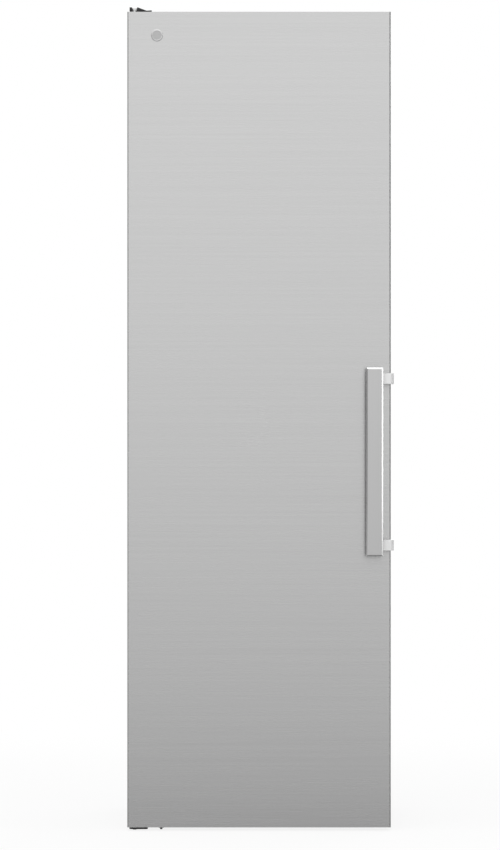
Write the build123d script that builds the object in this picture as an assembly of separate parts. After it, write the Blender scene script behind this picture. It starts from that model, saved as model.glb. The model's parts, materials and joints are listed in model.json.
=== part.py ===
from build123d import *
import math
import os

# A tall refrigerator with one door and no freezer, in millimetres.
# X runs left to right seen from the front, the door faces -Y, and the floor is at Z = 0.

# Overall sizes
cabinet_width = 595.0
cabinet_depth = 553.0
cabinet_height = 1823.0
cabinet_lift = 20.0
door_depth = 62.0
door_gap = 10.0
door_drop = 12.5
door_rise = 6.0
handle_reach = 45.0
condenser_space = 25.0

# Sheets and walls
sheet = 0.8
pan_sheet = 1.2
liner_wall = 2.0
side_wall = 48.0
roof_wall = 55.0
rear_wall = 50.0
floor_wall = 80.0
hump_wall = 43.0
front_flange = 38.0
rear_flange = 14.0
liner_lip = 12.0
liner_radius = 8.0
shell_radius = 2.0

# Clearances
fit = 0.2
running_fit = 0.05
gap = 0.3

# Machine space at the bottom of the back
machine_depth = 205.0
machine_height = 205.0
rail_thickness = 2.0
rail_rise = 4.0
rail_depth = 150.0
rail_setback = 20.0
rail_tab = 34.0
compressor_x = 70.0
compressor_length = 184.0
compressor_breadth = 139.0
compressor_round = 58.0
compressor_lower = 64.0
compressor_upper = 72.0
seam_rim = 3.0
mount_height = 12.0
mount_diameter = 22.0
mount_neck = 12.0
mount_span_x = 178.0
mount_span_y = 104.0
foot_plate = 2.5
terminal_size = (32.0, 46.0, 46.0)
pan_length = 170.0
pan_breadth = 118.0
pan_height = 25.0
pan_wall = 2.0
drain_diameter = 16.0
drain_bore = 12.0
roller_diameter = 30.0
roller_width = 16.0
roller_inset = 64.5
axle_diameter = 6.0

# Condenser and pipes
condenser_low = 350.0
condenser_drop = 203.0
condenser_runs = 19
condenser_inset = 52.5
condenser_tube = 5.0
tube_standoff = 12.0
riser_gap = 13.0
wire_count = 40
wire_margin = 4.0
wire_size = 1.5
wire_weld = 0.4
clip_width = 14.0
clip_height = 16.0
drier_offset = 12.5
capillary_step = 60.0
drier_diameter = 20.0
drier_length = 95.0
suction_diameter = 8.0
suction_reach = 50.0
drier_drop = 40.0
capillary_diameter = 3.0
pipe_bend = 14.0

# Evaporator plate in the foam behind the liner
evaporator_width = 420.0
evaporator_drop = 188.0
evaporator_height = 700.0
evaporator_plate = 1.5
channel_width = 8.0
channel_rise = 1.2
channel_runs = 8

# Door
door_sheet = 0.8
door_lip = 12.0
door_edge_radius = 3.5
cap_height = 14.0
liner_margin = 1.5
pivot_inset = 16.3
pivot_depth = 24.0
dike_clearance = 13.5
dike_width = 18.0
dike_height = 42.0
gasket_width = 16.0
gasket_base = 2.5
gasket_neck = 6.0
gasket_bulb = 11.0
gasket_bulb_height = 5.0
gasket_margin = 1.0
badge_diameter = 27.0
badge_inset = 67.1
badge_drop = 53.4
badge_thickness = 2.0

# Handle
handle_width = 37.5
handle_inset = 18.5
handle_length = 424.0
handle_centre = 833.0
bar_thickness = 16.0
bar_bevel = 3.0
bracket_span = 375.0
bracket_height = 24.0
bracket_leg = 6.0
bracket_arm = 8.0
bracket_overlap = 40.0
bracket_tuck = 28.0
bracket_round = 7.0
screw_shank = 5.0
screw_head = 8.0
screw_head_height = 3.0
screw_length = 14.0
bracket_screw_gap = 8.0
bracket_screw_pitch = 12.0
bracket_screw_setback = 14.0
screw_spread = 16.0

# Hinges
pin_diameter = 8.0
pin_reach = 11.0
bush_diameter = 14.0
bush_flange = 18.0
bush_flange_height = 1.5
bush_length = 12.0
hinge_plate = 3.0
hinge_clearance = 1.0
pin_head = 11.5
pin_head_height = 6.0
hinge_screw = 5.0
hinge_screw_head = 10.0
hinge_screw_head_height = 3.0
hinge_screw_length = 16.0
hinge_screw_setback = 20.0
hinge_screw_pitch = 27.0
hinge_screw_reach = 45.0
hinge_screw_edge = 3.0
plate_side = 8.0
plate_width = 44.0
plate_length = 78.0
plate_straight = 30.0
plate_corner = 14.0
plate_front = 4.0
arm_boss = 16.0
arm_width = 30.0
cover_height = 11.0
cover_wall = 1.5
cover_side = 11.4
cover_width = 50.0
cover_lift = 3.0
cover_crest = 18.4
cover_shoulder = 20.0
cover_nose = 14.0
cover_tail = 96.0
cover_fall = 7.5
cover_edge = 4.2
low_screw_pitch = 20.0
low_screw_offset = 25.0
low_screw_drop = 14.0
lower_plate_side = 12.0
lower_plate_radius = 8.0
lower_plate_drop = 2.0
pin_nut_height = 2.0
lower_plate_width = 41.5
lower_flange_width = 87.0
lower_flange_top = 62.0
foot_stud = 6.0
foot_stud_offset = 59.6
foot_stud_reach = 31.5
foot_finger = 12.0
foot_disc = 36.0
foot_disc_height = 8.0
foot_stem = 10.0
foot_stem_length = 38.0
right_foot_inset = 62.5
right_foot_setback = 45.5

# Shelves, rack and drawers: the lower levels rise from the cavity's floor, the upper hang from its roof
shelf_rises = (400.0, 645.0)
shelf_drops = (563.0, 318.0)
rack_drop = 803.0
cover_rise = 245.0
glass = 4.0
shelf_gap = 3.0
shelf_clearance = 30.5
shelf_rear_gap = 37.5
trim_depth = 14.0
trim_lip = 2.0
trim_skirt = 6.0
cover_skirt = 12.0
rear_lip_height = 20.0
rear_lip = 3.0
ledge_reach = 10.0
ledge_height = 8.0
ledge_setback = 6.0
ledge_round = 6.0
drawer_clearance = 27.5
drawer_wall = 2.5
drawer_gap = 3.0
drawer_top_gap = 15.0
drawer_radius = 10.0
runner_height = 3.0
runner_width = 8.0
grip_width = 110.0
grip_depth = 22.0
slider_width = 22.0
slider_height = 7.0
slider_groove = 3.0
slider_rise = 2.5
slider_travel = 40.0
rack_strip = 4.0
rack_strip_height = 22.0
rack_web = 8.0
rack_bottles = 5
bottle_radius = 44.0
rack_wire = 4.0
rack_bar = 6.0
rack_wire_offset = 16.0

# Door bins: height above the floor and depth of each
door_bins = ((150.0, 100.0), (480.0, 72.0), (800.0, 72.0), (1110.0, 72.0), (1410.0, 72.0))
bin_depth = 105.0
bin_wall = 2.5
bin_clearance = 5.5
bin_slope = 8.0
bin_radius = 14.0
bin_rim = 2.0
bin_rim_height = 6.0
bin_rear_share = 0.55
lug_height = 14.0
lug_depth = 10.0
lug_reach = 5.0
hook_height = 12.0

# Air duct, fan, lamp and control
duct_half = 90.0
duct_thickness = 20.0
duct_wall = 2.0
duct_low = 430.0
fan_box_half = 76.0
fan_box_depth = 50.0
fan_box_drop = 76.0
fan_box_height = 152.0
duct_slot_width = 60.0
duct_slot_height = 8.0
duct_slot_gap = 10.0
fan_diameter = 110.0
fan_opening = 120.0
fan_hub = 26.0
fan_hub_length = 14.0
fan_hub_end = 2.5
fan_clearance = 2.0
fan_blades = 5
blade_pitch = 32.0
blade_thickness = 1.6
blade_chord = 34.0
guard_rings = 3
guard_bar = 2.5
motor_diameter = 40.0
motor_length = 20.0
motor_plate = 64.0
motor_plate_thickness = 2.0
shaft_diameter = 3.0
control_half = 110.0
control_front = 75.0
control_depth = 90.0
control_height = 26.0
control_radius = 8.0
dial_thickness = 10.0
dial_shaft = 6.0
dial_ribs = 12
dial_notch = 1.4
lamp_half = 140.0
lamp_depth = 90.0
lamp_height = 10.0
lamp_gap = 10.0

# Planes worked out from the sizes above
half_width = cabinet_width / 2
handle_front = -(handle_reach + door_depth + door_gap + cabinet_depth + condenser_space) / 2
door_front = handle_front + handle_reach
door_back = door_front + door_depth
cabinet_front = door_back + door_gap
cabinet_back = cabinet_front + cabinet_depth
rear_plane = cabinet_back + condenser_space
cabinet_bottom = cabinet_lift
cabinet_top = cabinet_bottom + cabinet_height
door_bottom = cabinet_bottom - door_drop
door_top = cabinet_top + door_rise
foam_front = cabinet_front + liner_wall
cavity_half = half_width - side_wall
cavity_floor = cabinet_bottom + floor_wall
cavity_roof = cabinet_top - roof_wall
cavity_back = cabinet_back - rear_wall
machine_front = cabinet_back - machine_depth
machine_roof = cabinet_bottom + machine_height
hump_front = machine_front - hump_wall
hump_top = machine_roof + hump_wall
rail_top = cavity_floor - liner_lip
pivot_x = -half_width + pivot_inset
pivot_y = door_front + pivot_depth
skin_depth = door_depth - liner_wall
dike_half = cavity_half - dike_clearance
dike_inner = dike_half - dike_width
dike_low = cavity_floor + dike_clearance
dike_high = cavity_roof - dike_clearance
shelf_front = door_back + bin_depth + shelf_clearance
shelf_back = cavity_back - shelf_rear_gap
lower_levels = [cavity_floor + rise for rise in shelf_rises]
upper_levels = [cavity_roof - drop for drop in shelf_drops]
shelf_levels = (*lower_levels, *upper_levels)
rack_level = cavity_roof - rack_drop
cover_level = cavity_floor + cover_rise
drawer_front = door_back + bin_depth + drawer_clearance
shelf_half = cavity_half - shelf_gap
rail_bottom = cabinet_bottom + rail_rise
rail_plane = rail_bottom + rail_thickness
rail_back = cabinet_back - rail_setback
compressor_y = rail_back - rail_depth / 2
plate_bottom = rail_plane + mount_height
compressor_bottom = plate_bottom + foot_plate
compressor_seam = compressor_bottom + compressor_lower
compressor_top = compressor_seam + seam_rim + compressor_upper
tube_y = cabinet_back + tube_standoff
condenser_high = cabinet_top - condenser_drop
condenser_half = half_width - condenser_inset
riser_x = condenser_half + riser_gap
evaporator_high = cavity_roof - evaporator_drop
evaporator_low = evaporator_high - evaporator_height
drier_x = -condenser_half
drier_y = compressor_y + drier_offset
condenser_pitch = (condenser_high - condenser_low) / (condenser_runs - 1)
clip_x = condenser_half - condenser_pitch / 2 - clip_width / 2 - 1.0
axle_y = rail_back - roller_diameter / 2
roller_x = half_width - roller_inset
drain_y = compressor_y + 25.0
fan_box_high = cavity_roof - fan_box_drop
fan_box_low = fan_box_high - fan_box_height
fan_z = (fan_box_low + fan_box_high) / 2
fan_front = cavity_back - fan_box_depth
bar_back = handle_front + bar_thickness
handle_right = half_width - handle_inset
handle_left = handle_right - handle_width
bracket_heights = (handle_centre - bracket_span / 2, handle_centre + bracket_span / 2)
hinge_arm_bottom = door_top + hinge_clearance
lower_plate_top = door_bottom - lower_plate_drop
lower_flange_front = cabinet_front - hinge_plate
foot_stud_x = pivot_x + foot_stud_offset
right_foot_x = half_width - right_foot_inset
right_foot_y = cabinet_front + right_foot_setback
badge_x = badge_inset - half_width
overall_top = door_top + cover_height


# Plain shapes between two planes
def block(x0, x1, y0, y1, z0, z1):
    centre = Pos((x0 + x1) / 2, (y0 + y1) / 2, (z0 + z1) / 2)
    return centre * Box(x1 - x0, y1 - y0, z1 - z0)


def rod_x(y, z, x0, x1, diameter):
    return Pos((x0 + x1) / 2, y, z) * Rot(0, 90, 0) * Cylinder(diameter / 2, x1 - x0)


def rod_y(x, z, y0, y1, diameter):
    return Pos(x, (y0 + y1) / 2, z) * Rot(90, 0, 0) * Cylinder(diameter / 2, y1 - y0)


def rod_z(x, y, z0, z1, diameter):
    return Pos(x, y, (z0 + z1) / 2) * Cylinder(diameter / 2, z1 - z0)


def prism_x(points, x0, x1):
    face = make_face(Polyline(*points, close=True))
    return extrude(Plane.YZ.offset(x0) * face, x1 - x0)


def prism_y(points, y0, y1):
    face = make_face(Polyline(*points, close=True))
    return extrude(Plane.XZ.offset(-y1) * face, y1 - y0)


def prism_z(points, z0, z1):
    face = make_face(Polyline(*points, close=True))
    return extrude(Pos(0, 0, z0) * face, z1 - z0)


def rounded_block(x_mid, y_mid, length, breadth, radius, z0, z1):
    face = RectangleRounded(length, breadth, radius)
    return extrude(Pos(x_mid, y_mid, z0) * face, z1 - z0)


def pipe(points, radii, diameter):
    """Straight tubes between square elbows, one radius for each corner."""
    corners = [Vector(*p) for p in points]
    start = corners[0]
    pieces = []
    for before, corner, after, radius in zip(corners, corners[1:], corners[2:], radii):
        ahead = (corner - before).normalized()
        turned = (after - corner).normalized()
        bend_start = corner - ahead * radius
        pieces.append(straight(start, bend_start, diameter))
        axis = Axis(bend_start + turned * radius, ahead.cross(turned))
        section = Plane(origin=bend_start, z_dir=ahead) * Circle(diameter / 2)
        pieces.append(revolve(section, axis, 90))
        start = corner + turned * radius
    pieces.append(straight(start, corners[-1], diameter))
    return pieces[0] + pieces[1:]


def straight(start, end, diameter):
    along = end - start
    face = Plane(origin=start, z_dir=along) * Circle(diameter / 2)
    return extrude(face, along.length)


def group(solids):
    return Compound(children=[s for item in solids for s in item.solids()])


# Cabinet: painted steel wrapper, back sheet, floor pan, foam and moulded liner
def cabinet_shell():
    body = block(-half_width, half_width, cabinet_front, cabinet_back, cabinet_bottom, cabinet_top)
    body = fillet(body.edges().filter_by(Axis.Y).group_by(Axis.Z)[-1], shell_radius)
    inside = block(-half_width + sheet, half_width - sheet, cabinet_front + sheet,
                   cabinet_back - sheet, cabinet_bottom - sheet, cabinet_top - sheet)
    window = half_width - front_flange
    front = block(-window, window, cabinet_front - sheet, cabinet_front + 2 * sheet,
                  cabinet_bottom - sheet, cabinet_top - front_flange)
    window = half_width - rear_flange
    rear = block(-window, window, cabinet_back - 2 * sheet, cabinet_back + sheet,
                 cabinet_bottom - sheet, cabinet_top - rear_flange)
    return body - inside - front - rear - hinge_screw_solids()


def back_panel():
    inner = half_width - sheet - fit
    return block(-inner, inner, cabinet_back - 2 * sheet, cabinet_back - sheet,
                 machine_roof + pan_sheet, cabinet_top - sheet - fit)


def above_pan(inset, x_half):
    """Space above the floor pan, whose lower side is inset from the pan's outer face."""
    points = [
        (cabinet_front + inset, cabinet_top - sheet),
        (cabinet_front + inset, cabinet_bottom + inset),
        (machine_front - inset, cabinet_bottom + inset),
        (machine_front - inset, machine_roof + inset),
        (cabinet_back - 2 * sheet, machine_roof + inset),
        (cabinet_back - 2 * sheet, cabinet_top - sheet),
    ]
    return prism_x(points, -x_half, x_half)


def base_pan():
    x_half = half_width - sheet
    pan = above_pan(0, x_half) - above_pan(pan_sheet, x_half)
    pan -= block(-x_half, x_half, cabinet_front, machine_front - 2 * pan_sheet, rail_top, cabinet_top)
    inner = half_width - front_flange - fit
    for side in (-1, 1):
        x0, x1 = sorted((side * inner, side * half_width))
        pan -= block(x0, x1, cabinet_front, cabinet_front + pan_sheet, cabinet_bottom, rail_top)
    pan -= rod_z(right_foot_x, right_foot_y, cabinet_bottom - 1,
                 cabinet_bottom + pan_sheet + 1, foot_stem + 2 * running_fit)
    return pan - group(rear_pipe_holes()) - hinge_screw_solids()


def cavity(grow, front):
    """The space inside the liner, larger by grow on every side but the front."""
    points = [
        (front, cavity_floor - grow),
        (hump_front + grow, cavity_floor - grow),
        (hump_front + grow, hump_top - grow),
        (cavity_back + grow, hump_top - grow),
        (cavity_back + grow, cavity_roof + grow),
        (front, cavity_roof + grow),
    ]
    space = prism_x(points, -cavity_half - grow, cavity_half + grow)
    upright = space.edges().filter_by(Axis.Z).filter_by_position(Axis.Y, hump_front, rear_plane)
    space = fillet(upright, liner_radius)
    return space


def shelf_ledges():
    ledges = []
    front = shelf_front + trim_depth + ledge_setback
    for level in (cover_level, rack_level, *shelf_levels):
        for side in (-1, 1):
            x0, x1 = sorted((side * (cavity_half - ledge_reach), side * cavity_half))
            ledge = block(x0, x1, front, shelf_back, level - ledge_height, level)
            edges = ledge.edges().filter_by(Axis.Z).sort_by(Axis.X)
            inner = edges[:2] if side > 0 else edges[-2:]
            ledges.append(fillet(inner, ledge_round))
    return ledges


def inner_liner():
    liner = cavity(liner_wall, cabinet_front) - cavity(0, cabinet_front - liner_wall)
    outer = half_width - front_flange - fit
    lip = block(-outer, outer, cabinet_front, foam_front, rail_top + fit,
                cabinet_top - front_flange - fit)
    liner += lip - cavity(0, cabinet_front - liner_wall)
    liner += shelf_ledges()
    return liner - rod_z(compressor_x, drain_y, hump_top - 2 * liner_wall, hump_top + 1, drain_diameter)


def cabinet_insulation():
    foam = above_pan(pan_sheet, half_width - sheet)
    foam -= block(-half_width, half_width, cabinet_front, foam_front, cabinet_bottom, cabinet_top)
    foam -= cavity(liner_wall, cabinet_front)
    plate_front = cavity_back + liner_wall
    foam -= block(-evaporator_width / 2, evaporator_width / 2, plate_front - 1,
                  plate_front + evaporator_plate + channel_rise, evaporator_low, evaporator_high)
    foam -= rod_z(right_foot_x, right_foot_y, cabinet_bottom,
                  foot_disc_height + foot_stem_length + 2, foot_stem + 4)
    return foam - group(rear_pipe_holes()) - hinge_screw_solids()


def rear_pipe_holes():
    """Where the drain, suction and capillary tubes pass up through the machine space's roof."""
    low = machine_roof - 1
    return [
        rod_z(compressor_x, drain_y, low, hump_top, drain_diameter),
        rod_z(suction_x(), compressor_y, low, machine_roof + pipe_bend, suction_diameter),
        rod_z(capillary_x(), drier_y, low, machine_roof + pipe_bend, capillary_diameter),
    ]


def evaporator():
    front = cavity_back + liner_wall
    plate = block(-evaporator_width / 2, evaporator_width / 2, front, front + evaporator_plate,
                  evaporator_low, evaporator_high)
    margin = 2 * channel_width
    x_end = evaporator_width / 2 - margin
    pitch = (evaporator_high - evaporator_low - 2 * margin) / (channel_runs - 1)
    points = []
    for run in range(channel_runs):
        z = evaporator_low + margin + run * pitch
        ends = (-x_end, x_end) if run % 2 == 0 else (x_end, -x_end)
        points += [(ends[0], z), (ends[1], z)]
    line = FilletPolyline(*points, radius=pitch * 0.4)
    ribbon = Plane.XZ.offset(-front - evaporator_plate) * trace(line, channel_width)
    return plate + extrude(ribbon, -channel_rise)


# Machine space: rail, rollers, compressor, drain and pipes
def compressor_rail():
    inner = half_width - sheet
    front = rail_back - rail_depth
    rail = block(-inner, inner, front, rail_back, rail_bottom, rail_plane)
    rail += block(-inner, inner, front, front + rail_thickness, cabinet_bottom, rail_bottom)
    for side in (-1, 1):
        x0, x1 = sorted((side * (inner - rail_thickness), side * inner))
        rail += block(x0, x1, front, rail_back, rail_bottom, rail_bottom + rail_tab)
        wheel = side * roller_x
        rail -= block(wheel - roller_width / 2 - 1, wheel + roller_width / 2 + 1,
                      axle_y - roller_diameter / 2 - 1, rail_back, rail_bottom, rail_plane)
        for offset in (-1, 1):
            ear = wheel + offset * (roller_width / 2 + 2 * rail_thickness)
            hanger = block(ear - rail_thickness / 2, ear + rail_thickness / 2,
                           axle_y - axle_diameter, axle_y + axle_diameter,
                           roller_diameter / 2 - axle_diameter, rail_bottom)
            hanger -= rod_x(axle_y, roller_diameter / 2, ear - rail_thickness, ear + rail_thickness,
                            axle_diameter + 2 * running_fit)
            rail += hanger
    for x, y in mount_places():
        rail -= rod_z(x, y, rail_bottom, rail_plane, hinge_screw)
    return rail


def mount_places():
    return [(compressor_x + i * mount_span_x / 2, compressor_y + j * mount_span_y / 2)
            for i in (-1, 1) for j in (-1, 1)]


def compressor_mounts():
    mounts = []
    for x, y in mount_places():
        waist = mount_diameter - 6
        mount = rod_z(x, y, rail_plane, plate_bottom, waist)
        mount += rod_z(x, y, rail_plane, rail_plane + mount_height / 3, mount_diameter)
        mount += rod_z(x, y, plate_bottom - mount_height / 3, plate_bottom, mount_diameter)
        mount += rod_z(x, y, plate_bottom, compressor_bottom + 1, mount_neck)
        mounts.append(mount - rod_z(x, y, rail_plane, compressor_bottom + 1, hinge_screw))
    return group(mounts)


def rear_rollers():
    z = roller_diameter / 2
    reach = roller_x + roller_width / 2 + 3 * rail_thickness
    solids = [rod_x(axle_y, z, -reach, reach, axle_diameter)]
    for side in (-1, 1):
        x = side * roller_x
        wheel = rod_x(axle_y, z, x - roller_width / 2, x + roller_width / 2, roller_diameter)
        rims = wheel.edges().filter_by(GeomType.CIRCLE)
        wheel = chamfer(rims, 2.0) - rod_x(axle_y, z, x - roller_width, x + roller_width, axle_diameter)
        solids.append(wheel)
    return group(solids)


def compressor():
    lower = rounded_block(compressor_x, compressor_y, compressor_length, compressor_breadth,
                          compressor_round, compressor_bottom, compressor_seam)
    lower = fillet(lower.faces().sort_by(Axis.Z)[0].edges(), compressor_round * 0.4)
    rim = rounded_block(compressor_x, compressor_y, compressor_length + 2 * seam_rim,
                        compressor_breadth + 2 * seam_rim, compressor_round + seam_rim,
                        compressor_seam, compressor_seam + seam_rim)
    upper = rounded_block(compressor_x, compressor_y, compressor_length, compressor_breadth,
                          compressor_round, compressor_seam + seam_rim, compressor_top)
    upper = fillet(upper.faces().sort_by(Axis.Z)[-1].edges(), compressor_round * 0.7)
    plate = rounded_block(compressor_x, compressor_y, mount_span_x + 2 * mount_diameter,
                          mount_span_y + 1.4 * mount_diameter, mount_diameter / 2,
                          plate_bottom, compressor_bottom)
    for x, y in mount_places():
        plate -= rod_z(x, y, plate_bottom, compressor_bottom, mount_neck)
    return lower + rim + upper + plate


def terminal_cover():
    depth, breadth, height = terminal_size
    x1 = compressor_x - compressor_length / 2
    z1 = compressor_seam - seam_rim
    cover = block(x1 - depth, x1, compressor_y - breadth / 2, compressor_y + breadth / 2, z1 - height, z1)
    return fillet(cover.faces().sort_by(Axis.X)[0].edges(), 5.0)


def drain_pan():
    outer = rounded_block(compressor_x, compressor_y, pan_length, pan_breadth, 16,
                          compressor_top, compressor_top + pan_height)
    inner = rounded_block(compressor_x, compressor_y, pan_length - 2 * pan_wall,
                          pan_breadth - 2 * pan_wall, 16 - pan_wall,
                          compressor_top + pan_wall, compressor_top + pan_height + 1)
    return outer - inner


def drain_tube():
    low = compressor_top + pan_height * 0.75
    tube = rod_z(compressor_x, drain_y, low, hump_top, drain_diameter)
    return tube - rod_z(compressor_x, drain_y, low - 1, hump_top + 1, drain_bore)


def suction_x():
    return compressor_x - compressor_length / 2 - suction_reach


def capillary_x():
    return drier_x + capillary_step


def drier_top():
    return machine_roof - drier_drop


def filter_drier():
    radius = drier_diameter / 2
    neck = condenser_tube / 2 + 1
    low = drier_top() - drier_length
    outline = [(0, low), (neck, low), (neck, low + 8), (radius, low + 20),
               (radius, drier_top() - 20), (neck, drier_top() - 8), (neck, drier_top()), (0, drier_top())]
    face = make_face(Polyline(*[(r, z) for r, z in outline], close=True))
    return Pos(drier_x, drier_y, 0) * revolve(Plane.XZ * face, Axis.Z)


def refrigerant_pipes():
    """Suction, capillary, discharge and the line from the condenser to the drier."""
    stub_z = compressor_seam + seam_rim + 18.0
    left, right = compressor_x - compressor_length / 2, compressor_x + compressor_length / 2
    suction = pipe([(left, compressor_y, stub_z), (suction_x(), compressor_y, stub_z),
                    (suction_x(), compressor_y, machine_roof + pipe_bend)], [pipe_bend], suction_diameter)
    low = drier_top() - drier_length
    capillary = pipe([(drier_x, drier_y, low), (drier_x, drier_y, low - 25),
                      (capillary_x(), drier_y, low - 25),
                      (capillary_x(), drier_y, machine_roof + pipe_bend)], [pipe_bend] * 2, capillary_diameter)
    discharge = pipe([(right, compressor_y, stub_z), (riser_x, compressor_y, stub_z),
                      (riser_x, tube_y, stub_z), (riser_x, tube_y, joint_z())],
                     [pipe_bend] * 2, condenser_tube)
    under = machine_roof - pipe_bend
    to_drier = pipe([(drier_x, tube_y, joint_z()), (drier_x, tube_y, under), (drier_x, drier_y, under),
                     (drier_x, drier_y, drier_top())], [pipe_bend] * 2, condenser_tube)
    return group([suction, capillary, discharge, to_drier])


def joint_z():
    return machine_roof + 2 * pipe_bend


def condenser():
    """One tube folded to and fro in a plane, with straight wires welded to both sides of it."""
    bend = condenser_pitch * 0.49
    points = [(riser_x, tube_y, joint_z()), (riser_x, tube_y, condenser_high)]
    radii = [pipe_bend]
    for run in range(condenser_runs):
        z = condenser_high - run * condenser_pitch
        side = -1 if run % 2 == 0 else 1
        if run:
            points.append((-side * condenser_half, tube_y, z))
            radii.append(bend)
        points.append((side * condenser_half, tube_y, z))
        radii.append(bend)
    points.append((drier_x, tube_y, joint_z()))
    tube = pipe(points, radii, condenser_tube)
    wire_half = clip_x - clip_width / 2 - wire_margin
    low, high = condenser_low - condenser_pitch / 3, condenser_high + condenser_pitch / 3
    wires = []
    for side in (-1, 1):
        y = tube_y + side * ((condenser_tube + wire_size) / 2 - wire_weld)
        for n in range(wire_count):
            x = -wire_half + 2 * wire_half * n / (wire_count - 1)
            wires.append(block(x - wire_size / 2, x + wire_size / 2, y - wire_size / 2,
                               y + wire_size / 2, low, high))
    return tube + wires


def condenser_clips():
    clips = []
    for run in (1, condenser_runs // 2, condenser_runs - 2):
        z = condenser_high - run * condenser_pitch
        for side in (-1, 1):
            low, high = side * clip_x - clip_width / 2, side * clip_x + clip_width / 2
            clip = block(low, high, cabinet_back - sheet, rear_plane,
                         z - clip_height / 2, z + clip_height / 2)
            clip = fillet(clip.faces().sort_by(Axis.Y)[-1].edges(), 2.0)
            clips.append(clip - rod_x(tube_y, z, low - 1, high + 1, condenser_tube))
    return group(clips)


# Hinges, feet and their screws
def hinge_pins():
    top = rod_z(pivot_x, pivot_y, door_top - pin_reach, hinge_arm_bottom + hinge_plate, pin_diameter)
    top += rod_z(pivot_x, pivot_y, hinge_arm_bottom + hinge_plate,
                 hinge_arm_bottom + hinge_plate + pin_head_height, pin_head)
    low = lower_plate_top - hinge_plate
    bottom = rod_z(pivot_x, pivot_y, low, door_bottom + pin_reach, pin_diameter)
    bottom += rod_z(pivot_x, pivot_y, lower_plate_top, door_bottom, bush_diameter)
    bottom += rod_z(pivot_x, pivot_y, low - pin_nut_height, low, pin_diameter)
    return group([top, bottom])


def hinge_bushes():
    bushes = []
    for plane, inward in ((door_top, -1), (door_bottom, 1)):
        z0, z1 = sorted((plane, plane + inward * bush_length))
        f0, f1 = sorted((plane, plane + inward * bush_flange_height))
        bush = rod_z(pivot_x, pivot_y, z0, z1, bush_diameter)
        bush += rod_z(pivot_x, pivot_y, f0, f1, bush_flange)
        bore = rod_z(pivot_x, pivot_y, z0 - 1, z1 + 1, pin_diameter + 2 * running_fit)
        bushes.append(bush - bore)
    return group(bushes)


def top_screw_places():
    x, y = pivot_x + hinge_screw_edge, cabinet_front + hinge_screw_setback
    return [(x, y), (x + hinge_screw_pitch, y), (x + hinge_screw_pitch / 2, y + hinge_screw_reach)]


def low_screw_places():
    x, z = pivot_x + low_screw_offset, lower_flange_top - low_screw_drop
    return [(x + step * low_screw_pitch, z) for step in range(3)]


def hinge_screw_solids():
    """Six equal screws: three down into the roof, three back into the front rail."""
    solids = []
    for x, y in top_screw_places():
        z = cabinet_top + hinge_plate
        screw = rod_z(x, y, z - hinge_screw_length, z, hinge_screw)
        solids.append(screw + rod_z(x, y, z, z + hinge_screw_head_height, hinge_screw_head))
    for x, z in low_screw_places():
        y = lower_flange_front
        screw = rod_y(x, z, y, y + hinge_screw_length, hinge_screw)
        solids.append(screw + rod_y(x, z, y - hinge_screw_head_height, y, hinge_screw_head))
    return group(solids)


def top_hinge_bracket():
    plate_top = cabinet_top + hinge_plate
    arm_top = hinge_arm_bottom + hinge_plate
    step = cabinet_front + plate_front
    left = pivot_x - plate_side
    right = left + plate_width
    arm_side = pivot_x + arm_boss / 2
    rear = prism_z([(left, step), (right, step), (right, step + plate_straight),
                    (right - plate_corner, step + plate_length), (left, step + plate_length)],
                   cabinet_top, plate_top)
    rear += block(left, left + arm_width, step, step + hinge_plate, cabinet_top, arm_top)
    arm = block(left, arm_side, pivot_y, step + hinge_plate, hinge_arm_bottom, arm_top)
    arm += rod_z(pivot_x, pivot_y, hinge_arm_bottom, arm_top, arm_boss)
    arm += prism_z([(arm_side, (pivot_y + step) / 2), (left + arm_width, step), (arm_side, step)],
                   hinge_arm_bottom, arm_top)
    bracket = rear + arm
    bracket -= rod_z(pivot_x, pivot_y, hinge_arm_bottom, arm_top, pin_diameter)
    return bracket - hinge_screw_solids()


def cover_form(inset, top, front_floor, rear_floor):
    """The hinge cover's outside, or its inside when inset is the wall."""
    left = pivot_x - cover_side + inset
    right = left + cover_width - 2 * inset
    crest = pivot_x - cover_side + cover_crest
    front = pivot_y - cover_nose + inset
    back = cabinet_front + cover_tail - inset
    step = cabinet_front + hinge_clearance
    low = cabinet_top - 1
    edge = door_top + cover_edge - inset / 2
    face = prism_y([(left, low), (right, low), (right, edge), (crest + cover_shoulder, top - cover_fall),
                    (crest, top), (left, top)], front, back)
    side = prism_x([(front, front_floor), (step, front_floor), (step, rear_floor), (back, rear_floor),
                    (back, (top + cabinet_top) / 2), (back - cover_shoulder, top), (front, top)],
                   left, right)
    return face & side


def top_hinge_cover():
    outside = cover_form(0, overall_top, door_top + cover_lift, cabinet_top)
    inside = cover_form(cover_wall, overall_top - cover_wall, door_top - 5, cabinet_top - 5)
    half_slot = pin_head / 2 + gap
    slot = block(pivot_x - half_slot, pivot_x + half_slot, pivot_y - 20, pivot_y + 8,
                 door_top, overall_top + 1)
    return outside - inside - slot


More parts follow.
